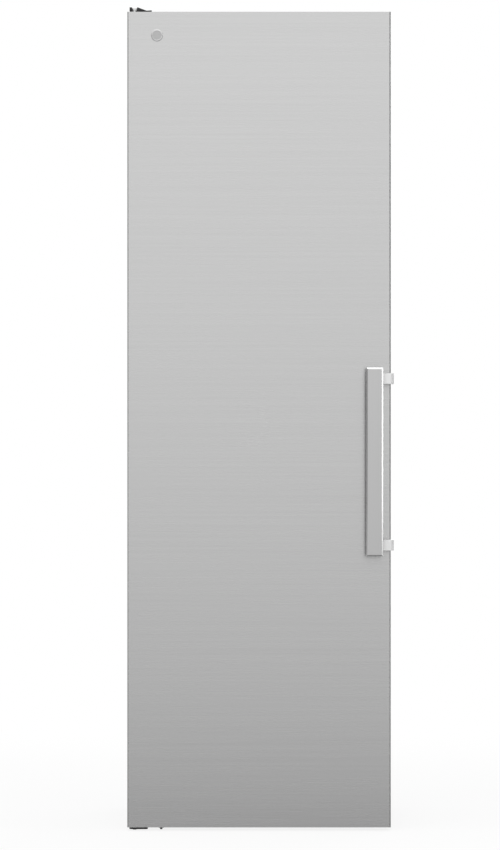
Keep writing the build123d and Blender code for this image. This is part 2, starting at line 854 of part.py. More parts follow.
def bottom_hinge_bracket():
    left = pivot_x - lower_plate_side
    low = lower_plate_top - hinge_plate
    bracket = block(left, left + lower_plate_width, pivot_y - lower_plate_side, cabinet_front,
                    low, lower_plate_top)
    front_edges = bracket.edges().filter_by(Axis.Z).group_by(Axis.Y)[0]
    bracket = fillet(front_edges, lower_plate_radius)
    bracket += block(left, left + lower_flange_width, lower_flange_front, cabinet_front,
                     low, lower_flange_top)
    bracket += block(left, left + hinge_plate, pivot_y, cabinet_front, low, door_bottom - hinge_clearance)
    foot_y = cabinet_front - foot_stud_reach
    finger_top = door_bottom - hinge_clearance
    bracket += block(foot_stud_x - foot_finger / 2, foot_stud_x + foot_finger / 2,
                     foot_y, cabinet_front, finger_top - hinge_plate, finger_top)
    bracket += rod_z(foot_stud_x, foot_y, finger_top - hinge_plate, finger_top, foot_finger)
    bracket -= rod_z(foot_stud_x, foot_y, 0, door_bottom, foot_stud + 2 * running_fit)
    bracket -= rod_z(pivot_x, pivot_y, low, lower_plate_top, pin_diameter)
    return bracket - hinge_screw_solids()


def left_foot():
    foot_y = cabinet_front - foot_stud_reach
    stud = rod_z(foot_stud_x, foot_y, 0, door_bottom - hinge_clearance, foot_stud)
    return chamfer(stud.faces().sort_by(Axis.Z)[0].edges(), 0.6)


def right_foot():
    disc = rod_z(right_foot_x, right_foot_y, 0, foot_disc_height, foot_disc)
    disc = chamfer(disc.faces().sort_by(Axis.Z)[-1].edges(), 2.5)
    stem_top = foot_disc_height + foot_stem_length
    return disc + rod_z(right_foot_x, right_foot_y, foot_disc_height, stem_top, foot_stem)


# Door
def door_prism(inset, z0, z1):
    width = cabinet_width - 2 * inset
    depth = skin_depth - 2 * inset
    face = Pos(0, door_front + skin_depth / 2) * Rectangle(width, depth)
    face = fillet(face.vertices().group_by(Axis.Y)[0], door_edge_radius - inset)
    return extrude(Pos(0, 0, z0) * face, z1 - z0)


def door_skin():
    skin = door_prism(0, door_bottom, door_top) - door_prism(door_sheet, door_bottom - 1, door_top + 1)
    window = half_width - door_lip
    skin -= block(-window, window, door_front + skin_depth / 2, door_back, door_bottom - 1, door_top + 1)
    return skin - handle_screw_solids()


def door_end_caps():
    bushes = [rod_z(pivot_x, pivot_y, door_bottom, door_bottom + bush_length, bush_diameter),
              rod_z(pivot_x, pivot_y, door_bottom, door_bottom + bush_flange_height, bush_flange),
              rod_z(pivot_x, pivot_y, door_top - bush_length, door_top, bush_diameter),
              rod_z(pivot_x, pivot_y, door_top - bush_flange_height, door_top, bush_flange)]
    caps = []
    for z0, recess in ((door_bottom, door_bottom), (door_top - cap_height, door_top - 3)):
        cap = door_prism(door_sheet, z0, z0 + cap_height)
        cap -= block(-half_width + 60, half_width - 20, door_front + 10, door_front + skin_depth - 12,
                     recess, recess + 3)
        for bush in bushes:
            cap -= bush
        caps.append(cap)
    return group(caps)


def dike(inset, y0):
    """Raised ring on the door's inner face, inset for the foam that fills it."""
    outer = block(-dike_half + inset, dike_half - inset, y0, door_back + dike_height - inset,
                  dike_low + inset, dike_high - inset)
    outer = fillet(outer.faces().sort_by(Axis.Y)[-1].edges(), 6.0)
    inner = block(-dike_inner - inset, dike_inner + inset, y0 - 1, door_back + dike_height + 1,
                  dike_low + dike_width - inset, dike_high - dike_width + inset)
    return outer - inner


def door_insulation():
    """The slab, then the four bars that fill the raised ring."""
    slab = door_prism(door_sheet, door_bottom + cap_height, door_top - cap_height)
    window = half_width - door_lip
    slab += block(-window, window, door_front + skin_depth / 2, door_back - liner_wall,
                  door_bottom + cap_height, door_top - cap_height)
    ring = dike(liner_wall, door_back - liner_wall)
    inner = dike_inner + liner_wall
    middle = (dike_low + dike_high) / 2
    y0, y1 = door_back - liner_wall, door_back + dike_height
    quarters = [(-dike_half, -inner, dike_low, dike_high), (inner, dike_half, dike_low, dike_high),
                (-inner, inner, dike_low, middle), (-inner, inner, middle, dike_high)]
    bars = [ring & block(x0, x1, y0, y1, z0, z1) for x0, x1, z0, z1 in quarters]
    return group([slab - handle_screw_solids()] + bars)


def bin_lugs():
    lugs = []
    y = door_back + dike_height / 2
    for z, height in door_bins:
        top = z + height / 2
        for side in (-1, 1):
            x0, x1 = sorted((side * (dike_inner - lug_reach), side * dike_inner))
            lugs.append(block(x0, x1, y - lug_depth / 2, y + lug_depth / 2, top - lug_height, top))
    return lugs


def door_liner():
    x_half = half_width - liner_margin
    liner = block(-x_half, x_half, door_back - liner_wall, door_back,
                  door_bottom + liner_margin, door_top - liner_margin)
    liner += dike(0, door_back - liner_wall)
    liner -= dike(liner_wall, door_back - liner_wall)
    for lug in bin_lugs():
        liner += lug
    return liner


def frame_ring(outer_half, low, high, width, y0, y1):
    ring = block(-outer_half, outer_half, y0, y1, low, high)
    return ring - block(-outer_half + width, outer_half - width, y0 - 1, y1 + 1, low + width, high - width)


def door_gasket():
    outer = half_width - pivot_inset - gasket_margin
    inset = half_width - outer
    high = cabinet_top - inset
    low = cavity_floor - (outer - cavity_half)
    base = frame_ring(outer, low, high, gasket_width, door_back, door_back + gasket_base)
    bulb_back = cabinet_front - gasket_bulb_height
    edge = (gasket_width - gasket_neck) / 2
    neck = frame_ring(outer - edge, low + edge, high - edge, gasket_neck,
                      door_back + gasket_base, bulb_back)
    edge = (gasket_width - gasket_bulb) / 2
    bulb = frame_ring(outer - edge, low + edge, high - edge, gasket_bulb, bulb_back, cabinet_front)
    return base + neck + bulb


def badge():
    z = door_top - badge_drop
    disc = rod_y(badge_x, z, door_front - badge_thickness, door_front, badge_diameter)
    disc = chamfer(disc.faces().sort_by(Axis.Y)[0].edges(), badge_thickness * 0.5)
    hollow = rod_y(badge_x, z, door_front - badge_thickness - 1, door_front - badge_thickness + 0.5,
                   badge_diameter - 6.0)
    return disc - hollow


def handle_bar():
    low = handle_centre - handle_length / 2
    bar = block(handle_left, handle_right, handle_front, bar_back, low, low + handle_length)
    bar = chamfer(bar.faces().sort_by(Axis.Y)[0].edges(), bar_bevel)
    return bar - handle_screw_solids()


def handle_brackets():
    outer = half_width + bracket_leg
    points = [(handle_right - bracket_tuck, bar_back), (outer, bar_back),
              (outer, door_front + bracket_overlap), (half_width, door_front + bracket_overlap),
              (half_width, bar_back + bracket_arm), (handle_right - bracket_tuck, bar_back + bracket_arm)]
    brackets = []
    for z in bracket_heights:
        bracket = prism_z(points, z - bracket_height / 2, z + bracket_height / 2)
        corner = bracket.edges().filter_by(Axis.Z).sort_by_distance((outer, bar_back, z))[0]
        brackets.append(fillet(corner, bracket_round) - handle_screw_solids())
    return group(brackets)


def handle_screw_solids():
    """Four screws a bracket: two into the bar from behind, two into the door's side."""
    solids = []
    back = bar_back + bracket_arm
    outer = half_width + bracket_leg
    for z in bracket_heights:
        x = handle_right - bracket_screw_gap
        for x in (x - bracket_screw_pitch, x):
            shank = rod_y(x, z, back - screw_length, back, screw_shank)
            solids.append(shank + rod_y(x, z, back - screw_head_height, back, screw_head))
        y = door_front + bracket_screw_setback
        for y in (y, y + screw_spread):
            shank = rod_x(y, z, outer - screw_length, outer, screw_shank)
            solids.append(shank + rod_x(y, z, outer - screw_head_height, outer, screw_head))
    return group(solids)


def door_bin(z, height):
    x_half = dike_inner - bin_clearance
    y0 = door_back
    y1 = door_back + bin_depth

    def hollow(inset, rise):
        points = [(y0 + inset, z + inset), (y1 - bin_slope - inset, z + inset),
                  (y1 - inset, z + height + rise), (y0 + inset, z + height + rise)]
        body = prism_x(points, -x_half + inset, x_half - inset)
        corners = body.edges().filter_by(Axis.X, reverse=True).group_by(Axis.Y)[-2:]
        upright = [e for g in corners for e in g if abs(e.tangent_at(0.5).Z) > 0.5]
        return fillet(upright, bin_radius - inset)

    top = z + height
    tray = hollow(0, 0) - hollow(bin_wall, 1)
    band = block(-x_half, x_half, y0, y1, top - bin_rim_height, top)
    tray += (hollow(0, 0) & band) - hollow(bin_wall + bin_rim, 1)
    tray -= block(-x_half - 1, x_half + 1, y0 - 1, y0 + bin_wall + bin_rim + 1,
                  z + height * bin_rear_share, top + 1)
    hook_y = door_back + dike_height / 2
    low = z + height / 2
    for side in (-1, 1):
        x0, x1 = sorted((side * x_half, side * (x_half + bin_clearance - gap)))
        tray += block(x0, x1, hook_y - lug_depth, hook_y + lug_depth, low, low + hook_height)
    return tray


# Shelves, rack and drawers
def glass_plate(level):
    plate = block(-shelf_half, shelf_half, shelf_front + trim_lip, shelf_back, level, level + glass)
    return plate


def shelf_trim(level):
    front = block(-shelf_half, shelf_half, shelf_front, shelf_front + trim_depth,
                  level - trim_skirt, level + glass + trim_lip)
    nose = front.edges().filter_by(Axis.X).group_by(Axis.Y)[0]
    front = fillet(nose, 1.5) - glass_plate(level)
    rear = block(-shelf_half, shelf_half, shelf_back, shelf_back + rear_lip,
                 level, level + glass + rear_lip_height)
    rear += block(-shelf_half, shelf_half, shelf_back - trim_depth, shelf_back + rear_lip,
                  level + glass, level + glass + trim_lip)
    return group([front, rear])


def slider_z():
    return cover_level - cover_skirt / 2


def crisper_cover_trim():
    front = block(-shelf_half, shelf_half, shelf_front, shelf_front + trim_depth,
                  cover_level - cover_skirt, cover_level + glass + trim_lip)
    nose = front.edges().filter_by(Axis.X).group_by(Axis.Y)[0]
    front = fillet(nose, 1.5) - glass_plate(cover_level)
    groove = (slider_travel + slider_width) / 2 + gap
    front -= block(-groove, groove, shelf_front - 1, shelf_front + slider_groove,
                   slider_z() - slider_height / 2 - gap, slider_z() + slider_height / 2 + gap)
    for n in range(3):
        x = slider_width / 2 - slider_travel / 2 + n * 8.0 + 3.0
        front -= block(x, x + 5.0, shelf_front, shelf_front + trim_depth + 1,
                       slider_z() - 2, slider_z() + 2)
    rear = block(-shelf_half, shelf_half, shelf_back, shelf_back + rear_lip,
                 cover_level, cover_level + glass + trim_lip)
    return group([front, rear])


def humidity_slider():
    x = -slider_travel / 2
    knob = block(x - slider_width / 2, x + slider_width / 2, shelf_front - slider_rise,
                 shelf_front + slider_groove, slider_z() - slider_height / 2, slider_z() + slider_height / 2)
    for n in range(3):
        rib = x + (n - 1) * 6.0
        knob -= block(rib - 0.8, rib + 0.8, shelf_front - slider_rise - 1, shelf_front - slider_rise + 0.8,
                      slider_z() - slider_height, slider_z() + slider_height)
    return knob


def crisper(side):
    x0, x1 = sorted((side * drawer_gap / 2, side * (cavity_half - drawer_gap)))
    front = drawer_front
    low = cavity_floor + runner_height
    top = cover_level - drawer_top_gap

    def hollow(inset, rise):
        points = [(front + inset, low + inset), (hump_front - drawer_gap - inset, low + inset),
                  (hump_front - drawer_gap - inset, hump_top + drawer_gap + inset),
                  (shelf_back - inset, hump_top + drawer_gap + inset),
                  (shelf_back - inset, top + rise), (front + inset, top + rise)]
        body = prism_x(points, x0 + inset, x1 - inset)
        corners = body.edges().filter_by(Axis.Z).filter_by_position(Axis.Y, shelf_front - 20, front + 5)
        return fillet(corners, drawer_radius - inset)

    drawer = hollow(0, 0) - hollow(drawer_wall, 1)
    middle = (x0 + x1) / 2
    drawer -= rod_y(middle, top + grip_width, front - 1, front + 2 * drawer_wall,
                    2 * (grip_width + grip_depth) * 0.97)
    for x in (x0 + 2 * runner_width, x1 - 2 * runner_width):
        drawer += block(x - runner_width / 2, x + runner_width / 2, front + 15,
                        hump_front - drawer_gap - 15, cavity_floor, low)
    return drawer


def bottle_rack():
    pitch = 2 * shelf_half / rack_bottles
    centre_z = rack_level + rack_web + bottle_radius
    rack = None
    for y in (shelf_front + 2 * trim_depth, shelf_back - trim_depth):
        strip = block(-shelf_half, shelf_half, y - rack_strip / 2, y + rack_strip / 2,
                      rack_level, rack_level + rack_strip_height)
        for n in range(rack_bottles):
            x = -shelf_half + (n + 0.5) * pitch
            strip -= rod_y(x, centre_z, y - rack_strip, y + rack_strip, 2 * bottle_radius)
        rack = strip if rack is None else rack + strip
    wire_z = centre_z - math.sqrt(bottle_radius ** 2 - rack_wire_offset ** 2)
    for n in range(rack_bottles):
        for side in (-1, 1):
            x = -shelf_half + (n + 0.5) * pitch + side * rack_wire_offset
            rack += rod_y(x, wire_z, shelf_front, shelf_back, rack_wire)
    for y in (shelf_front, shelf_back):
        rack += rod_x(y, wire_z, -shelf_half + ledge_reach, shelf_half - ledge_reach, rack_bar)
    return rack


# Air duct, fan, lamp and control
def air_duct_panel():
    front = cavity_back - duct_thickness
    panel = block(-duct_half, duct_half, front, cavity_back, duct_low, fan_box_low)
    panel = fillet(panel.edges().filter_by(Axis.Z).group_by(Axis.Y)[0], 6.0)
    box = block(-fan_box_half, fan_box_half, fan_front, cavity_back, fan_box_low, fan_box_high)
    box = fillet(box.faces().sort_by(Axis.Y)[0].edges(), 6.0)
    panel += box
    panel -= block(-duct_half + duct_wall, duct_half - duct_wall, front + duct_wall, cavity_back + 1,
                   duct_low + duct_wall, fan_box_low)
    panel -= block(-fan_box_half + duct_wall, fan_box_half - duct_wall, fan_front + duct_wall,
                   cavity_back + 1, fan_box_low, fan_box_high - duct_wall)
    levels = (cover_level, *sorted((*shelf_levels, rack_level)))
    for low, high in zip(levels[1:], levels[2:]):
        z = (low + high) / 2
        for side in (-1, 1):
            x = side * (duct_slot_width / 2 + duct_slot_gap)
            panel -= block(x - duct_slot_width / 2, x + duct_slot_width / 2, front - 1,
                           front + 2 * duct_wall, z - duct_slot_height / 2, z + duct_slot_height / 2)
    panel -= rod_y(0, fan_z, fan_front - 1, fan_front + 2 * duct_wall, fan_opening)
    for n in range(guard_rings):
        ring = fan_opening * (n + 0.5) / guard_rings
        guard = rod_y(0, fan_z, fan_front, fan_front + duct_wall, ring + guard_bar)
        panel += guard - rod_y(0, fan_z, fan_front - 1, fan_front + duct_wall + 1, ring - guard_bar)
    for angle in (0, 60, 120):
        bar = Box(fan_opening, duct_wall, guard_bar)
        panel += Pos(0, fan_front + duct_wall / 2, fan_z) * Rot(0, angle, 0) * bar
    return panel


def fan_motor():
    plate_front = cavity_back - motor_plate_thickness
    plate = block(-motor_plate / 2, motor_plate / 2, plate_front, cavity_back,
                  fan_z - motor_plate / 2, fan_z + motor_plate / 2)
    motor = rod_y(0, fan_z, plate_front - motor_length, plate_front, motor_diameter)
    motor = chamfer(motor.faces().sort_by(Axis.Y)[0].edges(), 2.5)
    reach = fan_clearance + fan_hub_length - fan_hub_end - gap
    shaft = rod_y(0, fan_z, plate_front - motor_length - reach, plate_front, shaft_diameter)
    return plate + motor + shaft


def fan_blade():
    back = cavity_back - motor_plate_thickness - motor_length - fan_clearance
    hub = rod_y(0, fan_z, back - fan_hub_length, back, fan_hub)
    hub = chamfer(hub.faces().sort_by(Axis.Y)[0].edges(), 3.5)
    reach = (fan_diameter - fan_hub) / 2 + 4.0
    for n in range(fan_blades):
        blade = Box(reach, blade_thickness, blade_chord)
        blade = fillet(blade.edges().filter_by(Axis.Y).group_by(Axis.X)[-1], 10.0)
        blade = Pos((fan_diameter - reach) / 2, 0, 0) * Rot(blade_pitch, 0, 0) * blade
        hub += Pos(0, back - fan_hub_length / 2, fan_z) * Rot(0, 360 * n / fan_blades, 0) * blade
    slab = block(-fan_diameter, fan_diameter, back - fan_hub_length, back,
                 fan_z - fan_diameter, fan_z + fan_diameter)
    fan = hub & slab
    bore = rod_y(0, fan_z, back - fan_hub_length + fan_hub_end, back + 1, shaft_diameter + 2 * running_fit)
    return fan - bore


def control_face():
    return cabinet_front + control_front


def control_housing():
    front = control_face()
    housing = block(-control_half, control_half, front, front + control_depth,
                    cavity_roof - control_height, cavity_roof)
    housing = fillet(housing.edges().filter_by(Axis.Z), control_radius)
    housing = fillet(housing.faces().sort_by(Axis.Z)[0].edges(), 3.0)
    return housing - rod_y(0, cavity_roof - control_height / 2, front - 1, front + 12,
                           dial_shaft + 2 * running_fit)


def temperature_dial():
    z = cavity_roof - control_height / 2
    radius = control_height / 2 - 1.0
    front = control_face()
    dial = rod_y(0, z, front - gap - dial_thickness, front - gap, 2 * radius)
    dial = chamfer(dial.faces().sort_by(Axis.Y)[0].edges(), 1.0)
    for n in range(dial_ribs):
        notch = Pos(0, 0, radius) * Rot(0, 45, 0) * Box(dial_notch, dial_thickness, dial_notch)
        dial -= Pos(0, front - gap - dial_thickness / 2 - 2.5, z) * Rot(0, 360 * n / dial_ribs, 0) * notch
    dial -= block(-0.6, 0.6, front - gap - dial_thickness - 1, front - gap - dial_thickness + 0.8,
                  z + radius * 0.4, z + radius + 1)
    return dial + rod_y(0, z, front - gap, front + 10, dial_shaft)


def lamp_cover():
    front = control_face() + control_depth + lamp_gap
    lamp = block(-lamp_half, lamp_half, front, front + lamp_depth, cavity_roof - lamp_height, cavity_roof)
    lamp = fillet(lamp.edges().filter_by(Axis.Z), 10.0)
    lamp = fillet(lamp.faces().sort_by(Axis.Z)[0].edges(), 4.0)
    for n in range(9):
        x = -lamp_half + 30 + n * (2 * lamp_half - 60) / 8
        lamp -= block(x - 4, x + 4, front + 15, front + lamp_depth - 15,
                      cavity_roof - lamp_height - 1, cavity_roof - lamp_height + 1)
    return lamp


parts = {
    "cabinet_shell": cabinet_shell,
    "back_panel": back_panel,
    "base_pan": base_pan,
    "cabinet_insulation": cabinet_insulation,
    "inner_liner": inner_liner,
    "evaporator": evaporator,
    "compressor_rail": compressor_rail,
    "compressor_mounts": compressor_mounts,
    "rear_rollers": rear_rollers,
    "compressor": compressor,
    "terminal_cover": terminal_cover,
    "drain_pan": drain_pan,
    "drain_tube": drain_tube,
    "filter_drier": filter_drier,
    "refrigerant_pipes": refrigerant_pipes,
    "condenser": condenser,
    "condenser_clips": condenser_clips,
    "hinge_pins": hinge_pins,
    "hinge_bushes": hinge_bushes,
    "hinge_screws": hinge_screw_solids,
    "top_hinge_bracket": top_hinge_bracket,
    "top_hinge_cover": top_hinge_cover,
    "bottom_hinge_bracket": bottom_hinge_bracket,
    "left_foot": left_foot,
    "right_foot": right_foot,
    "door_skin": door_skin,
    "door_end_caps": door_end_caps,
    "door_insulation": door_insulation,
    "door_liner": door_liner,
    "door_gasket": door_gasket,
    "badge": badge,
    "handle_bar": handle_bar,
    "handle_brackets": handle_brackets,
    "handle_screws": handle_screw_solids,
    "crisper_cover": lambda: glass_plate(cover_level),
    "crisper_cover_trim": crisper_cover_trim,
    "humidity_slider": humidity_slider,
    "left_crisper": lambda: crisper(-1),
    "right_crisper": lambda: crisper(1),
    "bottle_rack": bottle_rack,
    "air_duct_panel": air_duct_panel,
    "fan_motor": fan_motor,
    "fan_blade": fan_blade,
    "control_housing": control_housing,
    "temperature_dial": temperature_dial,
    "lamp_cover": lamp_cover,
}
for number, level in enumerate(shelf_levels, 1):
    parts[f"glass_shelf_{number}"] = lambda level=level: glass_plate(level)
    parts[f"shelf_trim_{number}"] = lambda level=level: shelf_trim(level)
for number, (z, height) in enumerate(door_bins, 1):
    parts[f"door_bin_{number}"] = lambda z=z, height=height: door_bin(z, height)

os.makedirs("parts", exist_ok=True)
for name, make in parts.items():
    export_step(make(), f"parts/{name}.step")
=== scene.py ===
import json
from math import cos, pi, radians, sin

import bmesh
import bpy
from mathutils import Matrix, Vector


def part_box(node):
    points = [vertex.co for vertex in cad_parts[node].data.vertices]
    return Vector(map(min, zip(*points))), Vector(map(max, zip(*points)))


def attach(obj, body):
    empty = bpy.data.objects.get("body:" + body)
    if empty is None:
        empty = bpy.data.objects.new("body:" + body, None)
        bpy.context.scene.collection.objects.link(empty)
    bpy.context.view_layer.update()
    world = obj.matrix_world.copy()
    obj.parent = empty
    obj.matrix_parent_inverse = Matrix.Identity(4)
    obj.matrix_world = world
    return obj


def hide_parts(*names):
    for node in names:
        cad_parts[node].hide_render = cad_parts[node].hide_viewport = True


# A tall refrigerator with one door, in metres: the studio, the finishes, then the pieces.

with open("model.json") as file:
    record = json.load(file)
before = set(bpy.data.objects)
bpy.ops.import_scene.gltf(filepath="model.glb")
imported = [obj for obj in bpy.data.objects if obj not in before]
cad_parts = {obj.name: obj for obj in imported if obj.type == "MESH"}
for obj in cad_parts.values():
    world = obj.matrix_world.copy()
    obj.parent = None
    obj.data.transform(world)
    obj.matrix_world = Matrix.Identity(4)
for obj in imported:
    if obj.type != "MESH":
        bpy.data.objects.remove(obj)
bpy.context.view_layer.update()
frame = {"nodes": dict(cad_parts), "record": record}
nodes = frame["nodes"]
behaviour = frame["record"]["behaviour"]
scene = bpy.context.scene
print("frame loaded:", len(nodes), "nodes")


# Shader maths
class Socket:  # one output in a node tree; sums and products add their own Math nodes
    def __init__(self, tree, socket=None):
        self.tree, self.socket = tree, socket

    def add(self, kind, settings=None, values=None, output=0):
        node = self.tree.nodes.new("ShaderNode" + kind)
        for key, value in (settings or {}).items():
            setattr(node, key, value)
        for key, value in (values or {}).items():
            target = node.inputs[key]
            if isinstance(value, Socket):
                self.tree.links.new(value.socket, target)
            elif target.type == "RGBA" and len(value) == 3:
                target.default_value = (*value, 1)
            else:
                target.default_value = value
        return Socket(self.tree, node.outputs[output]) if len(node.outputs) else None

    def out(self, name):
        return Socket(self.tree, self.socket.node.outputs[name])

    def maths(self, operation, first, second=0.0):
        return self.add("Math", {"operation": operation}, {0: first, 1: second})

    def __add__(self, other):
        return self.maths("ADD", self, other)

    __radd__ = __add__

    def __mul__(self, other):
        return self.maths("MULTIPLY", self, other)

    __rmul__ = __mul__

    def __sub__(self, other):
        return self.maths("SUBTRACT", self, other)

    def __rsub__(self, other):
        return self.maths("SUBTRACT", other, self)

    def __abs__(self):
        return self.maths("ABSOLUTE", self)

    def larger(self, other):
        return self.maths("MAXIMUM", self, other)

    def exponent(self):
        return self.maths("EXPONENT", self)

    def ramp(self, low, high):  # 0 below low, 1 above high, smooth between
        return self.add("MapRange", {"interpolation_type": "SMOOTHSTEP"},
                        {"Value": self, "From Min": low, "From Max": high})

    def mix(self, first, second):  # the first colour where this is 0, the second where it is 1
        return self.add("Mix", {"data_type": "RGBA"}, {0: self, 6: first, 7: second}, output=2)

    def length(self):
        return self.add("VectorMath", {"operation": "LENGTH"}, {0: self}, output=1)

    def between(self, first, second):  # the first level where this is 0, the second where it is 1
        return first + self * (second - first)

    def noise(self, scale, detail, roughness=0.5, stretch=(1, 1, 1)):
        where = self.add("Mapping", {}, {"Vector": self, "Scale": stretch})
        return self.add("TexNoise", {}, {"Vector": where, "Scale": scale, "Detail": detail,
                                         "Roughness": roughness})

    def bump(self, depth, strength):  # a Normal that takes this as its height
        return self.add("Bump", {}, {"Height": self, "Distance": depth, "Strength": strength})


def emptyMaterial(name):
    material = bpy.data.materials.new(name)
    material.use_nodes = True
    material.node_tree.nodes.clear()
    return material, Socket(material.node_tree)


def finish(name, fixed, build):
    material, start = emptyMaterial(name)
    place = start.add("TexCoord", output="Object")
    shader = start.add("BsdfPrincipled", {}, {**fixed, **build(place)})
    start.add("OutputMaterial", {}, {"Surface": shader})
    return material


# Camera, surroundings and floor
studio = {
    "lensDistance": 10.0,           # camera to the door's face
    "frameHeight": 1.919,           # height of the picture at the door's face
    "aimX": -0.0204,
    "aimZ": 0.916,
    "diffuseLevel": 0.68,           # light from all round on what isn't metal
    "floorHalf": 30.0,
    "floorGrey": 0.80,
    "floorWhite": 0.86,             # share of plain white that the camera sees near the object
    "floorWhitens": (1.2, 3.0),     # the share grows to all of it between these distances
    "floorDrop": 0.0004,            # keeps the floor clear of the feet
}
metalSees = {  # the surroundings as metal reflects them, by direction
    "horizon": 1.09,
    "zenith": 1.26,
    "rise": 0.76,                   # upwards, where the zenith's level is reached
    "rightSide": (0.22, 0.52),      # starts to darken, fully dark
    "rightDark": 0.985,
    "leftSide": (0.20, 0.75),
    "leftDark": 0.66,
    "sidesEnd": (0.0, 0.7),         # the dark sides fade out upwards
    "strip": (0.90, 0.96),          # a bright upright strip at the far right, for cut edges
    "stripHalf": (0.020, 0.045),
    "stripLevel": 3.4,
    "floorFar": 0.613,
    "floorPaintedShade": 0.575,             # how much darker the painted shade makes the floor close by
    "floorReach": 3.67,
}

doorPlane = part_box("door_skin")[0].y
lens = bpy.data.cameras.new("camera")
camera = bpy.data.objects.new("camera", lens)
scene.collection.objects.link(camera)
camera.location = (studio["aimX"], doorPlane - studio["lensDistance"], studio["aimZ"])
camera.rotation_euler = (pi / 2, 0, 0)
lens.lens = lens.sensor_width * studio["lensDistance"] / studio["frameHeight"]
lens.clip_start, lens.clip_end = 0.1, 100
scene.camera = camera
scene.view_settings.view_transform = "Standard"

world = bpy.data.worlds.new("studio")
scene.world = world
world.use_nodes = True
world.node_tree.nodes.clear()
sky = Socket(world.node_tree)
path = sky.add("LightPath")
seen = path.out("Is Camera Ray").larger(path.out("Is Transmission Ray"))
glossy = path.out("Is Glossy Ray")
towards = sky.add("SeparateXYZ", {}, {"Vector": sky.add("TexCoord", output="Generated")})
dirX, dirY, dirZ = towards.out("X"), towards.out("Y"), towards.out("Z")
overhead = dirZ.ramp(*metalSees["sidesEnd"])
rightSide = dirX.ramp(*metalSees["rightSide"]) * (1 - overhead)
leftSide = (dirX * -1).ramp(*metalSees["leftSide"]) * (1 - overhead)
strip = dirX.ramp(*metalSees["strip"]) * (1 - abs(dirY).ramp(*metalSees["stripHalf"]))
shine = dirZ.ramp(0.0, metalSees["rise"]).between(metalSees["horizon"], metalSees["zenith"])
shine = shine * (1 - rightSide * metalSees["rightDark"]) * (1 - leftSide * metalSees["leftDark"])
shine = shine + strip * metalSees["stripLevel"]
level = seen.larger(glossy.between(studio["diffuseLevel"], shine))
backdrop = sky.add("Background", {}, {"Color": (1, 1, 1), "Strength": level})
sky.add("OutputWorld", {}, {"Surface": backdrop})


def floorFinish():  # white to the camera with a little of the real shade, and to metal a grey with shade painted in close to the fridge
    material, start = emptyMaterial("studioFloor")
    rays = start.add("LightPath")
    toCamera, toGloss = rays.out("Is Camera Ray"), rays.out("Is Glossy Ray")
    away = start.add("TexCoord", output="Object").length()
    shaded = start.add("BsdfDiffuse", {}, {"Color": (studio["floorGrey"],) * 3})
    # painted shade: the floor that metal reflects is made darker close to the fridge, as if it lay in its
    # shadow
    fade = metalSees["floorPaintedShade"] * (away * (-1 / metalSees["floorReach"])).exponent()
    gloss = metalSees["floorFar"] * (1 - fade)
    glow = start.add("Emission", {}, {"Color": (1, 1, 1), "Strength": toGloss.between(1, gloss)})
    share = toCamera * away.ramp(*studio["floorWhitens"]).between(studio["floorWhite"], 1) + toGloss
    mixed = start.add("MixShader", {}, {0: share, 1: shaded, 2: glow})
    start.add("OutputMaterial", {}, {"Surface": mixed})
    return material


sheet = bmesh.new()
bmesh.ops.create_grid(sheet, x_segments=1, y_segments=1, size=studio["floorHalf"])
floorMesh = bpy.data.meshes.new("floor")
sheet.to_mesh(floorMesh)
sheet.free()
floorMesh.materials.append(floorFinish())
floor = bpy.data.objects.new("floor", floorMesh)
floor.location.z = -studio["floorDrop"]
scene.collection.objects.link(floor)

# Metal reflects only the last two lamps, because the others would leave patches of light on it
lamps = {
    "keyAbove": {"place": (-0.6, -3.4, 3.6), "aim": (0, -0.3, 1.3), "size": (3.2, 1.6), "power": 66,
                 "onMetal": False},
    "fillLeft": {"place": (-3.6, -2.2, 1.6), "aim": (0, 0, 0.9), "size": (1.2, 2.6), "power": 24,
                 "onMetal": False},
    "fillRight": {"place": (3.6, -1.6, 1.7), "aim": (0, 0, 0.9), "size": (1.0, 2.6), "power": 22,
                  "onMetal": False},
    "ceiling": {"place": (0, 0.4, 4.2), "aim": (0, 0, 0), "size": (3.0, 3.0), "power": 26,
                "onMetal": True},
    "behind": {"place": (0.8, 3.8, 2.6), "aim": (0, 0, 0.8), "size": (3.0, 1.6), "power": 40,
               "onMetal": True},
}
for name, lamp in lamps.items():
    light = bpy.data.lights.new(name, "AREA")
    light.shape = "RECTANGLE"
    light.size, light.size_y = lamp["size"]
    light.energy = lamp["power"]
    holder = bpy.data.objects.new(name, light)
    holder.location = lamp["place"]
    aim = Vector(lamp["aim"]) - Vector(lamp["place"])
    holder.rotation_euler = aim.to_track_quat("-Z", "Y").to_euler()
    holder.visible_glossy = lamp["onMetal"]
    scene.collection.objects.link(holder)
print("studio ready")


# Finishes. Noises mix two tones, and most of them move the roughness and the bumps too
steel = {
    "across": ((1.6, 1.6, 210), (5, 5, 1500)),      # how the broad and the fine streaks are drawn out
    "upright": ((210, 210, 1.6), (1500, 1500, 5)),
    "streak": 0.020,                # how far the streaks stray from the grey
    "spread": 0.08,                 # and from the roughness
    "door": {"grey": 0.618, "rough": 0.26, "bump": (0.00002, 0.16)},
    "handle": {"grey": 0.60, "rough": 0.30, "cutSheenGrey": 0.72, "polish": 0.19,
               "cutFrom": (0.35, 0.60), "cutTo": (0.80, 0.93)},
    "bracket": {"grey": 0.84, "rough": 0.34},
    "trim": {"grey": 0.70, "rough": 0.34},
    "badge": {"disc": 0.50, "ring": 0.64, "innerEdge": (0.0101, 0.0105), "turning": (5200, 2),
              "turned": 0.10, "rough": 0.34, "ringRough": 0.24},
}
moulded = {"drift": (6, 3), "wander": 0.10, "grain": (2200, 2, 0.65), "share": 0.3,
           "bump": (0.00006, 0.5)}
